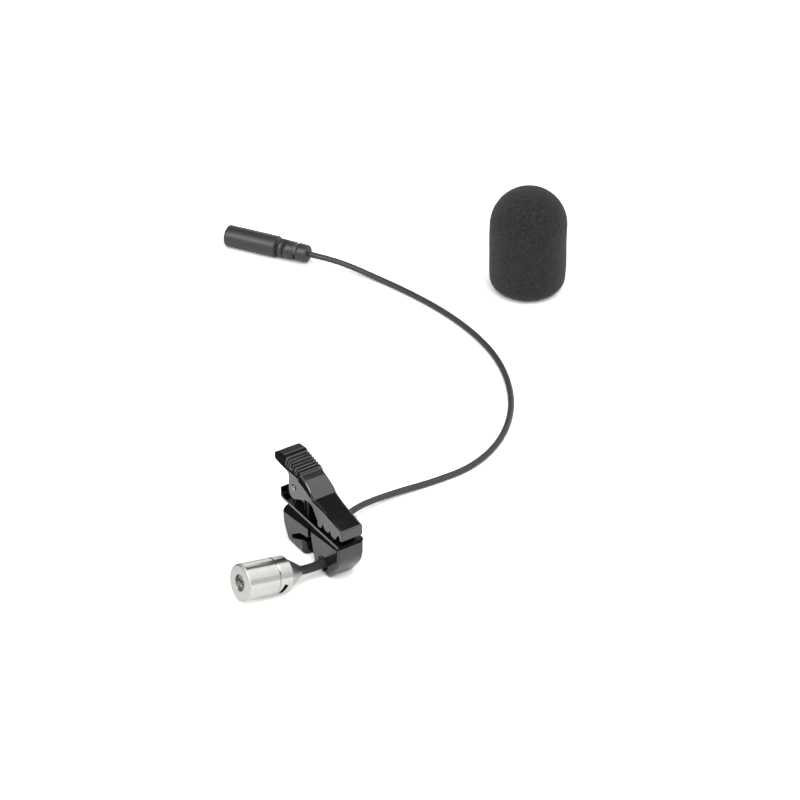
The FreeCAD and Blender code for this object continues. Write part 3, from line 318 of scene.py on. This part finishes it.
def satin_nickel(name, roughness):
    """Turned brass, nickel plated: warm grey metal with faint marks from handling.

    Its turning lines run round the axis and are drawn coarser than real ones, 0.15 mm apart, so
    that they show.
    """
    material, tree = blank_material(name)
    place = add(tree, "TexCoord", {}, {}).outputs["Object"]
    along = add(tree, "Mapping", {}, {"Vector": place, "Rotation": (0.0, -CAPSULE_TILT, 0.0)})
    lines = add(tree, "TexWave", {"wave_type": "BANDS", "bands_direction": "X"}, {
        "Vector": along.outputs["Vector"],
        "Scale": 2.1 * PER_MM,
        "Distortion": 2.0,
        "Detail": 3.0,
        "Detail Scale": 0.4})
    marks = add(tree, "TexNoise", {}, {
        "Vector": place,
        "Scale": 0.42 * PER_MM,
        "Detail": 5.0,
        "Roughness": 0.6})
    tint = add(tree, "Mix", {"data_type": "RGBA"}, {
        "Factor": marks.outputs["Fac"],
        "A": colour("#c1c1bd"),
        "B": colour("#cdcdc9")})
    gloss = add(tree, "MapRange", {}, {
        "Value": marks.outputs["Fac"],
        "To Min": roughness[0],
        "To Max": roughness[1]})
    relief = add(tree, "Bump", {}, {
        "Height": lines.outputs["Fac"],
        "Strength": 0.2,
        "Distance": 0.01 * MM})
    shader = add(tree, "BsdfPrincipled", {}, {
        "Base Color": tint.outputs["Result"],
        "Metallic": 1.0,
        "Roughness": gloss.outputs["Result"],
        "Normal": relief.outputs["Normal"]})
    add(tree, "OutputMaterial", {}, {"Surface": shader.outputs["BSDF"]})
    return material


def grille_steel():
    """Punched and dulled steel, with a close net of round holes 0.45 mm apart drawn as black pits
    of painted shade.
    """
    material, tree = blank_material("grille_steel")
    place = add(tree, "TexCoord", {}, {}).outputs["Object"]
    cells = add(tree, "TexVoronoi", {"feature": "F1"}, {
        "Vector": place,
        "Scale": 2.2 * PER_MM,
        "Randomness": 0.2})
    rims = add(tree, "MapRange", {}, {
        "Value": cells.outputs["Distance"],
        "From Min": HOLE_RIM[0],
        "From Max": HOLE_RIM[1]})
    # Painted shade: black in the pits, bright steel on the rims between them.
    tint = add(tree, "Mix", {"data_type": "RGBA"}, {
        "Factor": rims.outputs["Result"],
        "A": colour("#0b0b0b"),
        "B": colour("#e2e0da")})
    relief = add(tree, "Bump", {}, {
        "Height": rims.outputs["Result"],
        "Strength": 0.8,
        "Distance": 0.1 * MM})
    shader = add(tree, "BsdfPrincipled", {}, {
        "Base Color": tint.outputs["Result"],
        "Metallic": 1.0,
        "Roughness": 0.3,
        "Normal": relief.outputs["Normal"]})
    add(tree, "OutputMaterial", {}, {"Surface": shader.outputs["BSDF"]})
    return material


# Black felt: no highlight at all, and a little fluff.
FELT = varied(
    "black_felt",
    shades=("#0e0e0e", "#1c1c1c"),
    patches=1.8 * PER_MM,
    roughness=(0.9, 1.0),
    grain=5.2 * PER_MM,
    depth=0.1 * MM,
    settings={"Sheen Weight": 0.3})
# Moulded soft rubber: dark grey and nearly matt.
SOFT_RUBBER = varied(
    "soft_rubber",
    shades=("#2e2e30", "#3b3b3d"),
    patches=0.5 * PER_MM,
    roughness=(0.5, 0.65),
    grain=4.2 * PER_MM,
    depth=0.03 * MM,
    settings={})
# Drawn aluminium: pale, with a blurred shine.
DRAWN_CAN = varied(
    "drawn_can",
    shades=("#a9a9a8", "#bcbcba"),
    patches=0.5 * PER_MM,
    roughness=(0.25, 0.35),
    grain=7.0 * PER_MM,
    depth=0.01 * MM,
    settings={"Metallic": 1.0})
# Solder resist on glass fibre: green and half glossy over the weave.
BOARD_RESIST = varied(
    "board_resist",
    shades=("#12492a", "#1a5a36"),
    patches=0.6 * PER_MM,
    roughness=(0.3, 0.45),
    grain=4.0 * PER_MM,
    depth=0.03 * MM,
    settings={})
# The shell and the ring are buffed, so long highlights run along them. The cone is as turned, so
# its highlight is wide and soft.
dress(satin_nickel("satin_nickel", roughness=(0.15, 0.23)), "front_shell", "rear_ring")
dress(satin_nickel("matt_nickel", roughness=(0.36, 0.42)), "tail_cone")
dress(grille_steel(), "front_grille")
dress(FELT, "dust_felt")
dress(SOFT_RUBBER, "element_gasket")
dress(DRAWN_CAN, "electret_element")
dress(BOARD_RESIST, "element_board")

# The shell's rounded rims are lapped, which leaves them duller than its sides.
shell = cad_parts["front_shell"].data
shell.materials.append(satin_nickel("lapped_nickel", roughness=(0.5, 0.6)))
for face in shell.polygons:
    if RIM_FACING[0] < face.normal.dot(CAPSULE_NOSE) < RIM_FACING[1]:
        face.material_index = 1


# The boot between the capsule and the holder: soft black rubber, moulded on the cable, with a
# collar against the capsule's neck and a slight waist. Each station of its line has a place in
# millimetres and a share of the diameter. The cable in the holder has the free cable's jacket.
BOOT_DIAMETER = 2.65 * MM
BOOT_LINE = (
    ((-13.7, -7.1, 4.46), 1.0),
    ((-12.2, -7.1, 4.15), 1.04),
    ((-11.5, -7.1, 4.01), 1.08),
    ((-11.2, -7.1, 3.95), 0.98),
    ((-9.0, -7.1, 3.54), 0.97),
    ((-6.4, -7.1, 3.4), 0.98),
    ((-4.6, -7.1, 3.4), 1.06),
    ((-2.6, -7.1, 3.4), 1.1),
)


def drawn_line(name, stations, diameter, material):
    """Round piece along points in millimetres, each with its share of the diameter."""
    curve = bpy.data.curves.new(name, "CURVE")
    curve.dimensions = "3D"
    curve.bevel_depth = diameter / 2
    curve.bevel_resolution = 8
    curve.use_fill_caps = True
    line = curve.splines.new("NURBS")
    line.points.add(len(stations) - 1)
    for point, (place, share) in zip(line.points, stations):
        point.co = (*(value * MM for value in place), 1.0)
        point.radius = share
    line.order_u = CABLE_ORDER
    line.use_endpoint_u = True
    line.resolution_u = 12
    curve.materials.append(material)
    piece = bpy.data.objects.new(name, curve)
    bpy.context.scene.collection.objects.link(piece)
    bpy.ops.object.select_all(action="DESELECT")
    piece.select_set(True)
    bpy.context.view_layer.objects.active = piece
    bpy.ops.object.convert(target="MESH")
    return piece


boot = drawn_line("rubber_boot", BOOT_LINE, BOOT_DIAMETER, SOFT_RUBBER)
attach(boot, "holder")
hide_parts("strain_boot")
dress(JACKET, "cable_tail")


# The clip: a holder moulded in ABS, a jaw pressed from steel and stoved in black enamel, and the
# hollow thumb lever, enamelled alike, which turns on a pin between the jaw's ears. The edges
# have the small rounds of a mould or a paint film, which catch the light.
EDGE_ROUND = 0.12 * MM
JAW_ROUND = 0.1 * MM
# Faces that turn off by less than FLAT are joined, edges over SHARP get a round, and edges over
# SMOOTH shade sharp, as those over CREASE do beside a flat side.
FLAT = math.radians(1.0)
CREASE = math.radians(9.0)
SHARP = math.radians(32.0)
SMOOTH = math.radians(34.0)
SIDEWAYS = 0.9999
# The lever's shoulders lie ahead of its ribs, between a top and a flank that look sideways and
# upwards by these shares.
SHOULDER_ROUND = 0.4 * MM
SHOULDER_REAR_Y = 5.4 * MM
SHOULDER_TOP_ACROSS = 0.05
SHOULDER_FLANK_ACROSS = (0.3, 0.999)
SHOULDER_RISE = 0.05
# The jaw's front edge, which carries painted shade, is ahead of this place and looks forwards
# by this share or more.
PAINTED_SHADE_EDGE_Y = -15.0 * MM
PAINTED_SHADE_EDGE_FACING = -0.3


def gloss_black(name, shades, patches, coat):
    """Gloss black: a faint orange peel of 1 mm, cloudy gloss from handling, and fine dry scuffs."""
    material, tree = blank_material(name)
    place = add(tree, "TexCoord", {}, {}).outputs["Object"]
    cloud = add(tree, "TexNoise", {}, {"Vector": place, "Scale": patches, "Detail": 4.0})
    tint = add(tree, "Mix", {"data_type": "RGBA"}, {
        "Factor": cloud.outputs["Fac"],
        "A": colour(shades[0]),
        "B": colour(shades[1])})
    streaks = add(tree, "Mapping", {}, {"Vector": place, "Scale": (1.0, 0.12, 1.0)})
    scuffs = add(tree, "TexNoise", {}, {
        "Vector": streaks.outputs["Vector"],
        "Scale": 2.6 * PER_MM,
        "Detail": 3.0})
    wear = add(tree, "Math", {"operation": "MULTIPLY"}, {
        0: cloud.outputs["Fac"],
        1: scuffs.outputs["Fac"]})
    gloss = add(tree, "MapRange", {}, {
        "Value": wear.outputs["Value"],
        "From Min": 0.1,
        "From Max": 0.5,
        "To Min": 0.12,
        "To Max": 0.26})
    peel = add(tree, "TexNoise", {}, {"Vector": place, "Scale": 0.9 * PER_MM, "Detail": 1.0})
    relief = add(tree, "Bump", {}, {
        "Height": peel.outputs["Fac"],
        "Strength": 0.25,
        "Distance": 0.01 * MM})
    shader = add(tree, "BsdfPrincipled", {}, {
        "Base Color": tint.outputs["Result"],
        "Roughness": gloss.outputs["Result"],
        "IOR": 1.54,
        "Coat Weight": coat,
        "Coat Roughness": 0.06,
        "Normal": relief.outputs["Normal"]})
    add(tree, "OutputMaterial", {}, {"Surface": shader.outputs["BSDF"]})
    return material


def crease_sides(data):
    """Sharpen the edges where a flat side of the piece meets a face that turns off from it."""
    form = bmesh.new()
    form.from_mesh(data)
    for line in form.edges:
        if len(line.link_faces) == 2 and line.calc_face_angle() > CREASE:
            beside = any(abs(face.normal.x) > SIDEWAYS for face in line.link_faces)
            line.smooth = line.smooth and not beside
    form.to_mesh(data)
    form.free()


def is_shoulder(line):
    """True for an edge between a slanted flank and the lever's smooth top, ahead of its ribs."""
    if len(line.link_faces) != 2:
        return False
    if max(vertex.co.y for vertex in line.verts) > SHOULDER_REAR_Y:
        return False
    top, flank = sorted(abs(face.normal.x) for face in line.link_faces)
    rise = min(face.normal.z for face in line.link_faces)
    slanted = SHOULDER_FLANK_ACROSS[0] < flank < SHOULDER_FLANK_ACROSS[1]
    return top < SHOULDER_TOP_ACROSS and slanted and rise > SHOULDER_RISE


def soft_edged(node, name, body, edge, material):
    """Copy of a node with small rounds on its sharp edges, in the node's place."""
    piece = merged_copy(node, name)
    data = piece.data
    form = bmesh.new()
    form.from_mesh(data)
    bmesh.ops.dissolve_limit(form, angle_limit=FLAT, verts=form.verts, edges=form.edges)
    bmesh.ops.recalc_face_normals(form, faces=form.faces)
    shoulders = [line for line in form.edges if is_shoulder(line)]
    if shoulders:
        bmesh.ops.bevel(
            form,
            geom=shoulders,
            offset=SHOULDER_ROUND,
            offset_type="OFFSET",
            segments=4,
            profile=0.5,
            affect="EDGES",
            clamp_overlap=False,
            loop_slide=True)
    form.to_mesh(data)
    form.free()
    data.materials.clear()
    data.materials.append(material)
    rounds = piece.modifiers.new("rounds", "BEVEL")
    rounds.width = edge
    rounds.segments = 2
    rounds.limit_method = "ANGLE"
    rounds.angle_limit = SHARP
    rounds.use_clamp_overlap = True
    bpy.ops.object.modifier_apply(modifier=rounds.name)
    bpy.ops.object.shade_smooth_by_angle(angle=SMOOTH)
    crease_sides(data)
    flats = piece.modifiers.new("flats", "WEIGHTED_NORMAL")
    flats.keep_sharp = True
    bpy.ops.object.modifier_apply(modifier=flats.name)
    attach(piece, body)
    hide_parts(node)
    return piece


# Moulded ABS: a clear black gloss, a little softer than the enamel's.
MOULDED_ABS = gloss_black(
    "moulded_abs", shades=("#08080a", "#0f0f11"), patches=0.26 * PER_MM, coat=0.5)
# Baked enamel: the deeper gloss of a full coat.
ENAMEL = gloss_black(
    "baked_enamel", shades=("#070708", "#0d0d0f"), patches=0.2 * PER_MM, coat=1.0)
# Painted shade: the jaw's front edge is black without a shine, standing for the dark band of
# shade under the lever's lip.
PAINTED_SHADE_EDGE = varied(
    "painted_shade_jaw_edge",
    shades=("#050505", "#0b0b0b"),
    patches=0.4 * PER_MM,
    roughness=(0.7, 0.8),
    grain=5.0 * PER_MM,
    depth=0.02 * MM,
    settings={"Specular IOR Level": 0.1})
soft_edged("cable_holder", "holder_moulding", "holder", EDGE_ROUND, MOULDED_ABS)
jaw = soft_edged("lower_jaw", "pressed_jaw", "clip_jaw", JAW_ROUND, ENAMEL)
# The painted shade goes on the faces at the jaw's front that look forwards.
jaw.data.materials.append(PAINTED_SHADE_EDGE)
for face in jaw.data.polygons:
    if face.normal.y < PAINTED_SHADE_EDGE_FACING and face.center.y < PAINTED_SHADE_EDGE_Y:
        face.material_index = 1
soft_edged("thumb_lever", "hollow_lever", "lever", EDGE_ROUND, ENAMEL)


# The swivel and the pivot: a hollow steel rivet and its washer, blackened and set in the holder,
# that the jaw turns on, and a bright steel pin with domed ends, pressed through the jaw's ears,
# that the lever turns on.
PIN_DOME = 0.45 * MM

# Blackened zinc plate: dark metal with a dull shine.
ZINC_PLATE = varied(
    "zinc_plate",
    shades=("#2a2a2b", "#373738"),
    patches=0.8 * PER_MM,
    roughness=(0.28, 0.4),
    grain=8.0 * PER_MM,
    depth=0.01 * MM,
    settings={"Metallic": 1.0})
dress(ZINC_PLATE, "swivel_rivet", "swivel_washer")
# Drawn bright steel: a small light dome with one dark reflection.
PIN_STEEL = varied(
    "bright_pin",
    shades=("#9c9c9a", "#b4b4b1"),
    patches=0.8 * PER_MM,
    roughness=(0.2, 0.3),
    grain=8.0 * PER_MM,
    depth=0.01 * MM,
    settings={"Metallic": 1.0})
soft_edged("pivot_pin", "domed_pin", "clip_jaw", PIN_DOME, PIN_STEEL)


# The torsion spring: hard-drawn steel wire, wound round the pin, with one leg on the jaw and one
# under the thumb pad. Its sizes are in millimetres and degrees, and its centre is the pin's place
# along y and z.
SPRING_CENTRE = (7.8, 20.4)
SPRING_RADIUS = 1.5
SPRING_PITCH = 0.88
SPRING_ANGLES = (22.0, 1050.0)
SPRING_LEGS = (7.3, 7.3)
SPRING_WIRE = 0.45 * MM
SPRING_STEPS = 72


def coil_place(angle):
    """Point and heading on the spring's coil, in millimetres."""
    turn = math.radians(angle)
    point = Vector((
        (angle - sum(SPRING_ANGLES) / 2) / 360 * SPRING_PITCH,
        SPRING_CENTRE[0] + SPRING_RADIUS * math.cos(turn),
        SPRING_CENTRE[1] + SPRING_RADIUS * math.sin(turn)))
    heading = Vector((
        SPRING_PITCH / (2 * math.pi),
        -SPRING_RADIUS * math.sin(turn),
        SPRING_RADIUS * math.cos(turn)))
    return point, heading.normalized()


coil_start, coil_end = SPRING_ANGLES
coil = [
    coil_place(coil_start + (coil_end - coil_start) * step / SPRING_STEPS)
    for step in range(SPRING_STEPS + 1)]
first_leg = coil[0][0] - coil[0][1] * SPRING_LEGS[0]
last_leg = coil[-1][0] + coil[-1][1] * SPRING_LEGS[1]
wire = [first_leg] + [point for point, heading in coil] + [last_leg]
# Blued spring steel: nearly black, with a narrow shine along the wire.
SPRING_STEEL = varied(
    "spring_steel",
    shades=("#1e1e1f", "#2a2a2b"),
    patches=0.9 * PER_MM,
    roughness=(0.3, 0.42),
    grain=8.0 * PER_MM,
    depth=0.01 * MM,
    settings={"Metallic": 1.0})
spring = drawn_line("wound_spring", [(point, 1.0) for point in wire], SPRING_WIRE, SPRING_STEEL)
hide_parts("torsion_spring")
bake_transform(spring)


# The windscreen: open-cell polyurethane foam, ground to a round-topped cup with a bore, taken off
# the capsule and stood on the table. Its skin is uneven and draws in towards a soft lower edge.
# The larger pores are sunk in the mesh, drawn coarser than real ones so that they show.
FOAM_VOXEL = 0.21 * MM
FOAM_AXIS = Vector((131.3, 84.5, 0.0)) * MM
BORE_CLEAR = 6.5 * MM
CROWN_HEIGHT = 26.0 * MM
HEM_HEIGHT = 10.0 * MM
HEM_ROUND = 1.3 * MM
PORE_SIZE = 0.8 * MM
PORE_DEPTH = 0.17 * MM
PORE_STEEPNESS = 2.2
SAG_SIZE = 13.0 * MM
SAG_DEPTH = 0.5 * MM


def foam_with_painted_pore_shade():
    """Open-cell foam: charcoal and fully matt, with painted shade darkening the pores 0.8 mm apart
    against paler cell walls.
    """
    material, tree = blank_material("foam_with_painted_pore_shade")
    place = add(tree, "TexCoord", {}, {}).outputs["Object"]
    cells = add(tree, "TexVoronoi", {"feature": "F1"}, {"Vector": place, "Scale": 1.3 * PER_MM})
    fine = add(tree, "TexNoise", {}, {
        "Vector": place,
        "Scale": 1.5 * PER_MM,
        "Detail": 4.0,
        "Roughness": 0.65})
    depth = add(tree, "Math", {"operation": "MULTIPLY"}, {
        0: cells.outputs["Distance"],
        1: fine.outputs["Fac"]})
    level = add(tree, "MapRange", {}, {
        "Value": depth.outputs["Value"],
        "From Min": 0.05,
        "From Max": 0.4})
    # Painted shade: the colour darkens into the pores that the bump sinks, with random tone from
    # the noise.
    tint = add(tree, "Mix", {"data_type": "RGBA"}, {
        "Factor": level.outputs["Result"],
        "A": colour("#1f1f21"),
        "B": colour("#3a3a3d")})
    relief = add(tree, "Bump", {}, {
        "Height": depth.outputs["Value"],
        "Strength": 0.6,
        "Distance": 0.12 * MM})
    shader = add(tree, "BsdfPrincipled", {}, {
        "Base Color": tint.outputs["Result"],
        "Roughness": 0.95,
        "Specular IOR Level": 0.2,
        "Sheen Weight": 0.2,
        "Sheen Roughness": 0.6,
        "Normal": relief.outputs["Normal"]})
    add(tree, "OutputMaterial", {}, {"Surface": shader.outputs["BSDF"]})
    return material


foam = merged_copy("foam_windscreen", "foam_skin")
foam_data = foam.data
foam_data.materials.clear()
foam_data.materials.append(foam_with_painted_pore_shade())
skin = foam.modifiers.new("skin", "REMESH")
skin.mode = "VOXEL"
skin.voxel_size = FOAM_VOXEL
skin.use_smooth_shade = True
bpy.ops.object.modifier_apply(modifier=skin.name)
foam_normals = [Vector(item.vector) for item in foam_data.vertex_normals]
for vertex, normal in zip(foam_data.vertices, foam_normals):
    out = Vector((vertex.co.x - FOAM_AXIS.x, vertex.co.y - FOAM_AXIS.y, 0.0))
    nearest = noise.voronoi(vertex.co / PORE_SIZE)[0][0]
    pore = max(0.0, 1.0 - nearest * PORE_STEEPNESS)
    sag = 0.0
    if out.length > BORE_CLEAR or vertex.co.z > CROWN_HEIGHT:
        sag = SAG_DEPTH * (0.5 + 0.5 * noise.noise(vertex.co / SAG_SIZE))
    hem = 0.0
    if out.length > BORE_CLEAR:
        low = min(1.0, max(0.0, 1.0 - vertex.co.z / HEM_HEIGHT))
        hem = HEM_ROUND * (1.0 - math.sqrt(1.0 - low * low))
    if vertex.co.z > PORE_DEPTH:
        vertex.co -= normal * (PORE_DEPTH * pore + sag)
    vertex.co -= out.normalized() * hem
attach(foam, "windscreen")
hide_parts("foam_windscreen")


# The studio: a white paper table under a wide soft lamp, with a weak lamp at the left. Two more
# lamps and a dark flag behind the clip are there for gloss alone. The camera sees the table and
# the air as plain white, and reflections see a pale wall on the right under a dark ceiling.
TABLE_SIZE = 6.0
# The table's brightness: to light, to the camera from near to far, and to gloss (a painted
# reflection, brighter in front) from front to rear, each over its range in metres.
TABLE_LIGHT = 0.9
TABLE_TO_CAMERA = (2.4, 24.0)
TABLE_REACH = (0.25, 1.4)
TABLE_TO_GLOSS = (1.75, 1.25)
TABLE_FRONT_TO_REAR = (-0.06, 0.02)
FLAG_CENTRE = (-0.0203, 0.0597, 0.0275)
FLAG_SIZE = (0.15, 0.055)
FLAG_TILT = math.radians(90.0)
FLAG_TURN = math.radians(45.0)
# The air's brightness to light, and the wall's to gloss, off and on it. The wall ends softly at
# its top and left, and fades to a share of itself on the right.
ROOM_LIGHT = 0.1
WALL_OFF_AND_ON = (0.09, 1.3)
WALL_TOP = (0.50, 0.60)
WALL_LEFT = (-0.43, -0.27)
WALL_RIGHT = (0.6, 1.0)
WALL_RIGHT_SHARE = 0.6


def table_paper():
    """Matt white paper: plain white to the camera, and brighter to gloss as a painted reflection.
    """
    material, tree = blank_material("table_paper")
    rays = add(tree, "LightPath", {}, {})
    spot = add(tree, "TexCoord", {}, {}).outputs["Object"]
    away = add(tree, "VectorMath", {"operation": "LENGTH"}, {0: spot})
    white = add(tree, "MapRange", {}, {
        "Value": away.outputs["Value"],
        "From Min": TABLE_REACH[0],
        "From Max": TABLE_REACH[1],
        "To Min": TABLE_TO_CAMERA[0],
        "To Max": TABLE_TO_CAMERA[1]})
    seen = add(tree, "MapRange", {}, {
        "Value": rays.outputs["Is Camera Ray"],
        "To Min": TABLE_LIGHT,
        "To Max": white.outputs["Result"]})
    place = add(tree, "SeparateXYZ", {}, {0: spot})
    extra = add(tree, "MapRange", {}, {
        "Value": place.outputs["Y"],
        "From Min": TABLE_FRONT_TO_REAR[0],
        "From Max": TABLE_FRONT_TO_REAR[1],
        "To Min": TABLE_TO_GLOSS[0] - TABLE_LIGHT,
        "To Max": TABLE_TO_GLOSS[1] - TABLE_LIGHT})
    # Painted reflection: the paper is brighter to gloss, more in front than behind.
    mirrored = add(tree, "Math", {"operation": "MULTIPLY"}, {
        0: rays.outputs["Is Glossy Ray"],
        1: extra.outputs["Result"]})
    level = add(tree, "Math", {"operation": "ADD"}, {
        0: seen.outputs["Result"],
        1: mirrored.outputs["Value"]})
    paper = add(tree, "BsdfDiffuse", {}, {"Color": level.outputs["Value"]})
    add(tree, "OutputMaterial", {}, {"Surface": paper.outputs["BSDF"]})
    return material


def dark_card():
    """Dark grey card that keeps the pale wall out of the gloss on the clip's flanks."""
    material, tree = blank_material("dark_grey_card")
    card = add(tree, "BsdfDiffuse", {}, {"Color": colour("#5a5a5a")})
    add(tree, "OutputMaterial", {}, {"Surface": card.outputs["BSDF"]})
    return material


bpy.ops.object.select_all(action="DESELECT")
bpy.ops.mesh.primitive_plane_add(size=TABLE_SIZE, location=(0, 0, 0))
table = bpy.context.active_object
table.name = "table_top"
table.data.materials.append(table_paper())
table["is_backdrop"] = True

bpy.ops.mesh.primitive_plane_add(
    size=1.0, location=FLAG_CENTRE, rotation=(FLAG_TILT, 0.0, FLAG_TURN))
flag = bpy.context.active_object
flag.name = "dark_flag"
flag.scale = (*FLAG_SIZE, 1.0)
flag.data.materials.append(dark_card())
flag.visible_camera = False
flag.visible_diffuse = False
flag.visible_shadow = False
flag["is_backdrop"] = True

world = bpy.data.worlds.new("studio_air")
world.use_nodes = True
air = world.node_tree
air.nodes.clear()
rays = add(air, "LightPath", {}, {})
heading = add(air, "SeparateXYZ", {}, {0: add(air, "TexCoord", {}, {}).outputs["Generated"]})
low = add(air, "MapRange", {}, {
    "Value": heading.outputs["Z"],
    "From Min": WALL_TOP[0],
    "From Max": WALL_TOP[1],
    "To Min": 1.0,
    "To Max": 0.0})
across = add(air, "Math", {"operation": "SUBTRACT"}, {
    0: heading.outputs["X"],
    1: heading.outputs["Y"]})
left = add(air, "MapRange", {}, {
    "Value": across.outputs["Value"],
    "From Min": WALL_LEFT[0],
    "From Max": WALL_LEFT[1]})
right = add(air, "MapRange", {}, {
    "Value": across.outputs["Value"],
    "From Min": WALL_RIGHT[0],
    "From Max": WALL_RIGHT[1],
    "To Min": 1.0,
    "To Max": WALL_RIGHT_SHARE})
side = add(air, "Math", {"operation": "MULTIPLY"}, {
    0: left.outputs["Result"],
    1: right.outputs["Result"]})
wall = add(air, "Math", {"operation": "MULTIPLY"}, {
    0: low.outputs["Result"],
    1: side.outputs["Value"]})
level = add(air, "MapRange", {}, {
    "Value": wall.outputs["Value"],
    "To Min": WALL_OFF_AND_ON[0],
    "To Max": WALL_OFF_AND_ON[1]})
mirrored_room = add(air, "Background", {}, {"Color": level.outputs["Result"]})
dim_room = add(air, "Background", {}, {"Strength": ROOM_LIGHT})
plain_white = add(air, "Background", {}, {"Color": colour("#ffffff")})
around = add(air, "MixShader", {}, {
    0: rays.outputs["Is Glossy Ray"],
    1: dim_room.outputs[0],
    2: mirrored_room.outputs[0]})
choice = add(air, "MixShader", {}, {
    0: rays.outputs["Is Camera Ray"],
    1: around.outputs[0],
    2: plain_white.outputs[0]})
add(air, "OutputWorld", {}, {"Surface": choice.outputs[0]})
bpy.context.scene.world = world

# Each lamp: name, place, target, width, depth, power in watts, and whether it lights matt pieces.
LAMPS = (
    ("overhead_softbox", (0.10, -0.575, 0.80), (0.10, -0.575, 0.0), 1.60, 1.65, 12.0, True),
    ("side_softbox", (-1.00, 0.35, 0.45), (0.0, 0.0, 0.0), 0.70, 0.70, 3.0, True),
    ("gloss_panel", (-0.60, 0.0, 0.72), (0.0, 0.0, 0.0), 0.35, 0.70, 4.0, False),
    ("gloss_card", (-0.90, 0.03, 0.19), (0.0, 0.0, 0.02), 0.35, 0.22, 0.26, False),
)
for name, place, target, width, depth, power, lights_matt in LAMPS:
    lamp_data = bpy.data.lights.new(name, "AREA")
    lamp_data.shape = "RECTANGLE"
    lamp_data.size = width
    lamp_data.size_y = depth
    lamp_data.energy = power
    lamp = bpy.data.objects.new(name, lamp_data)
    lamp.location = place
    lamp.rotation_euler = (Vector(target) - Vector(place)).to_track_quat("-Z", "Y").to_euler()
    lamp.visible_diffuse = lights_matt
    bpy.context.scene.collection.objects.link(lamp)

low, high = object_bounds()
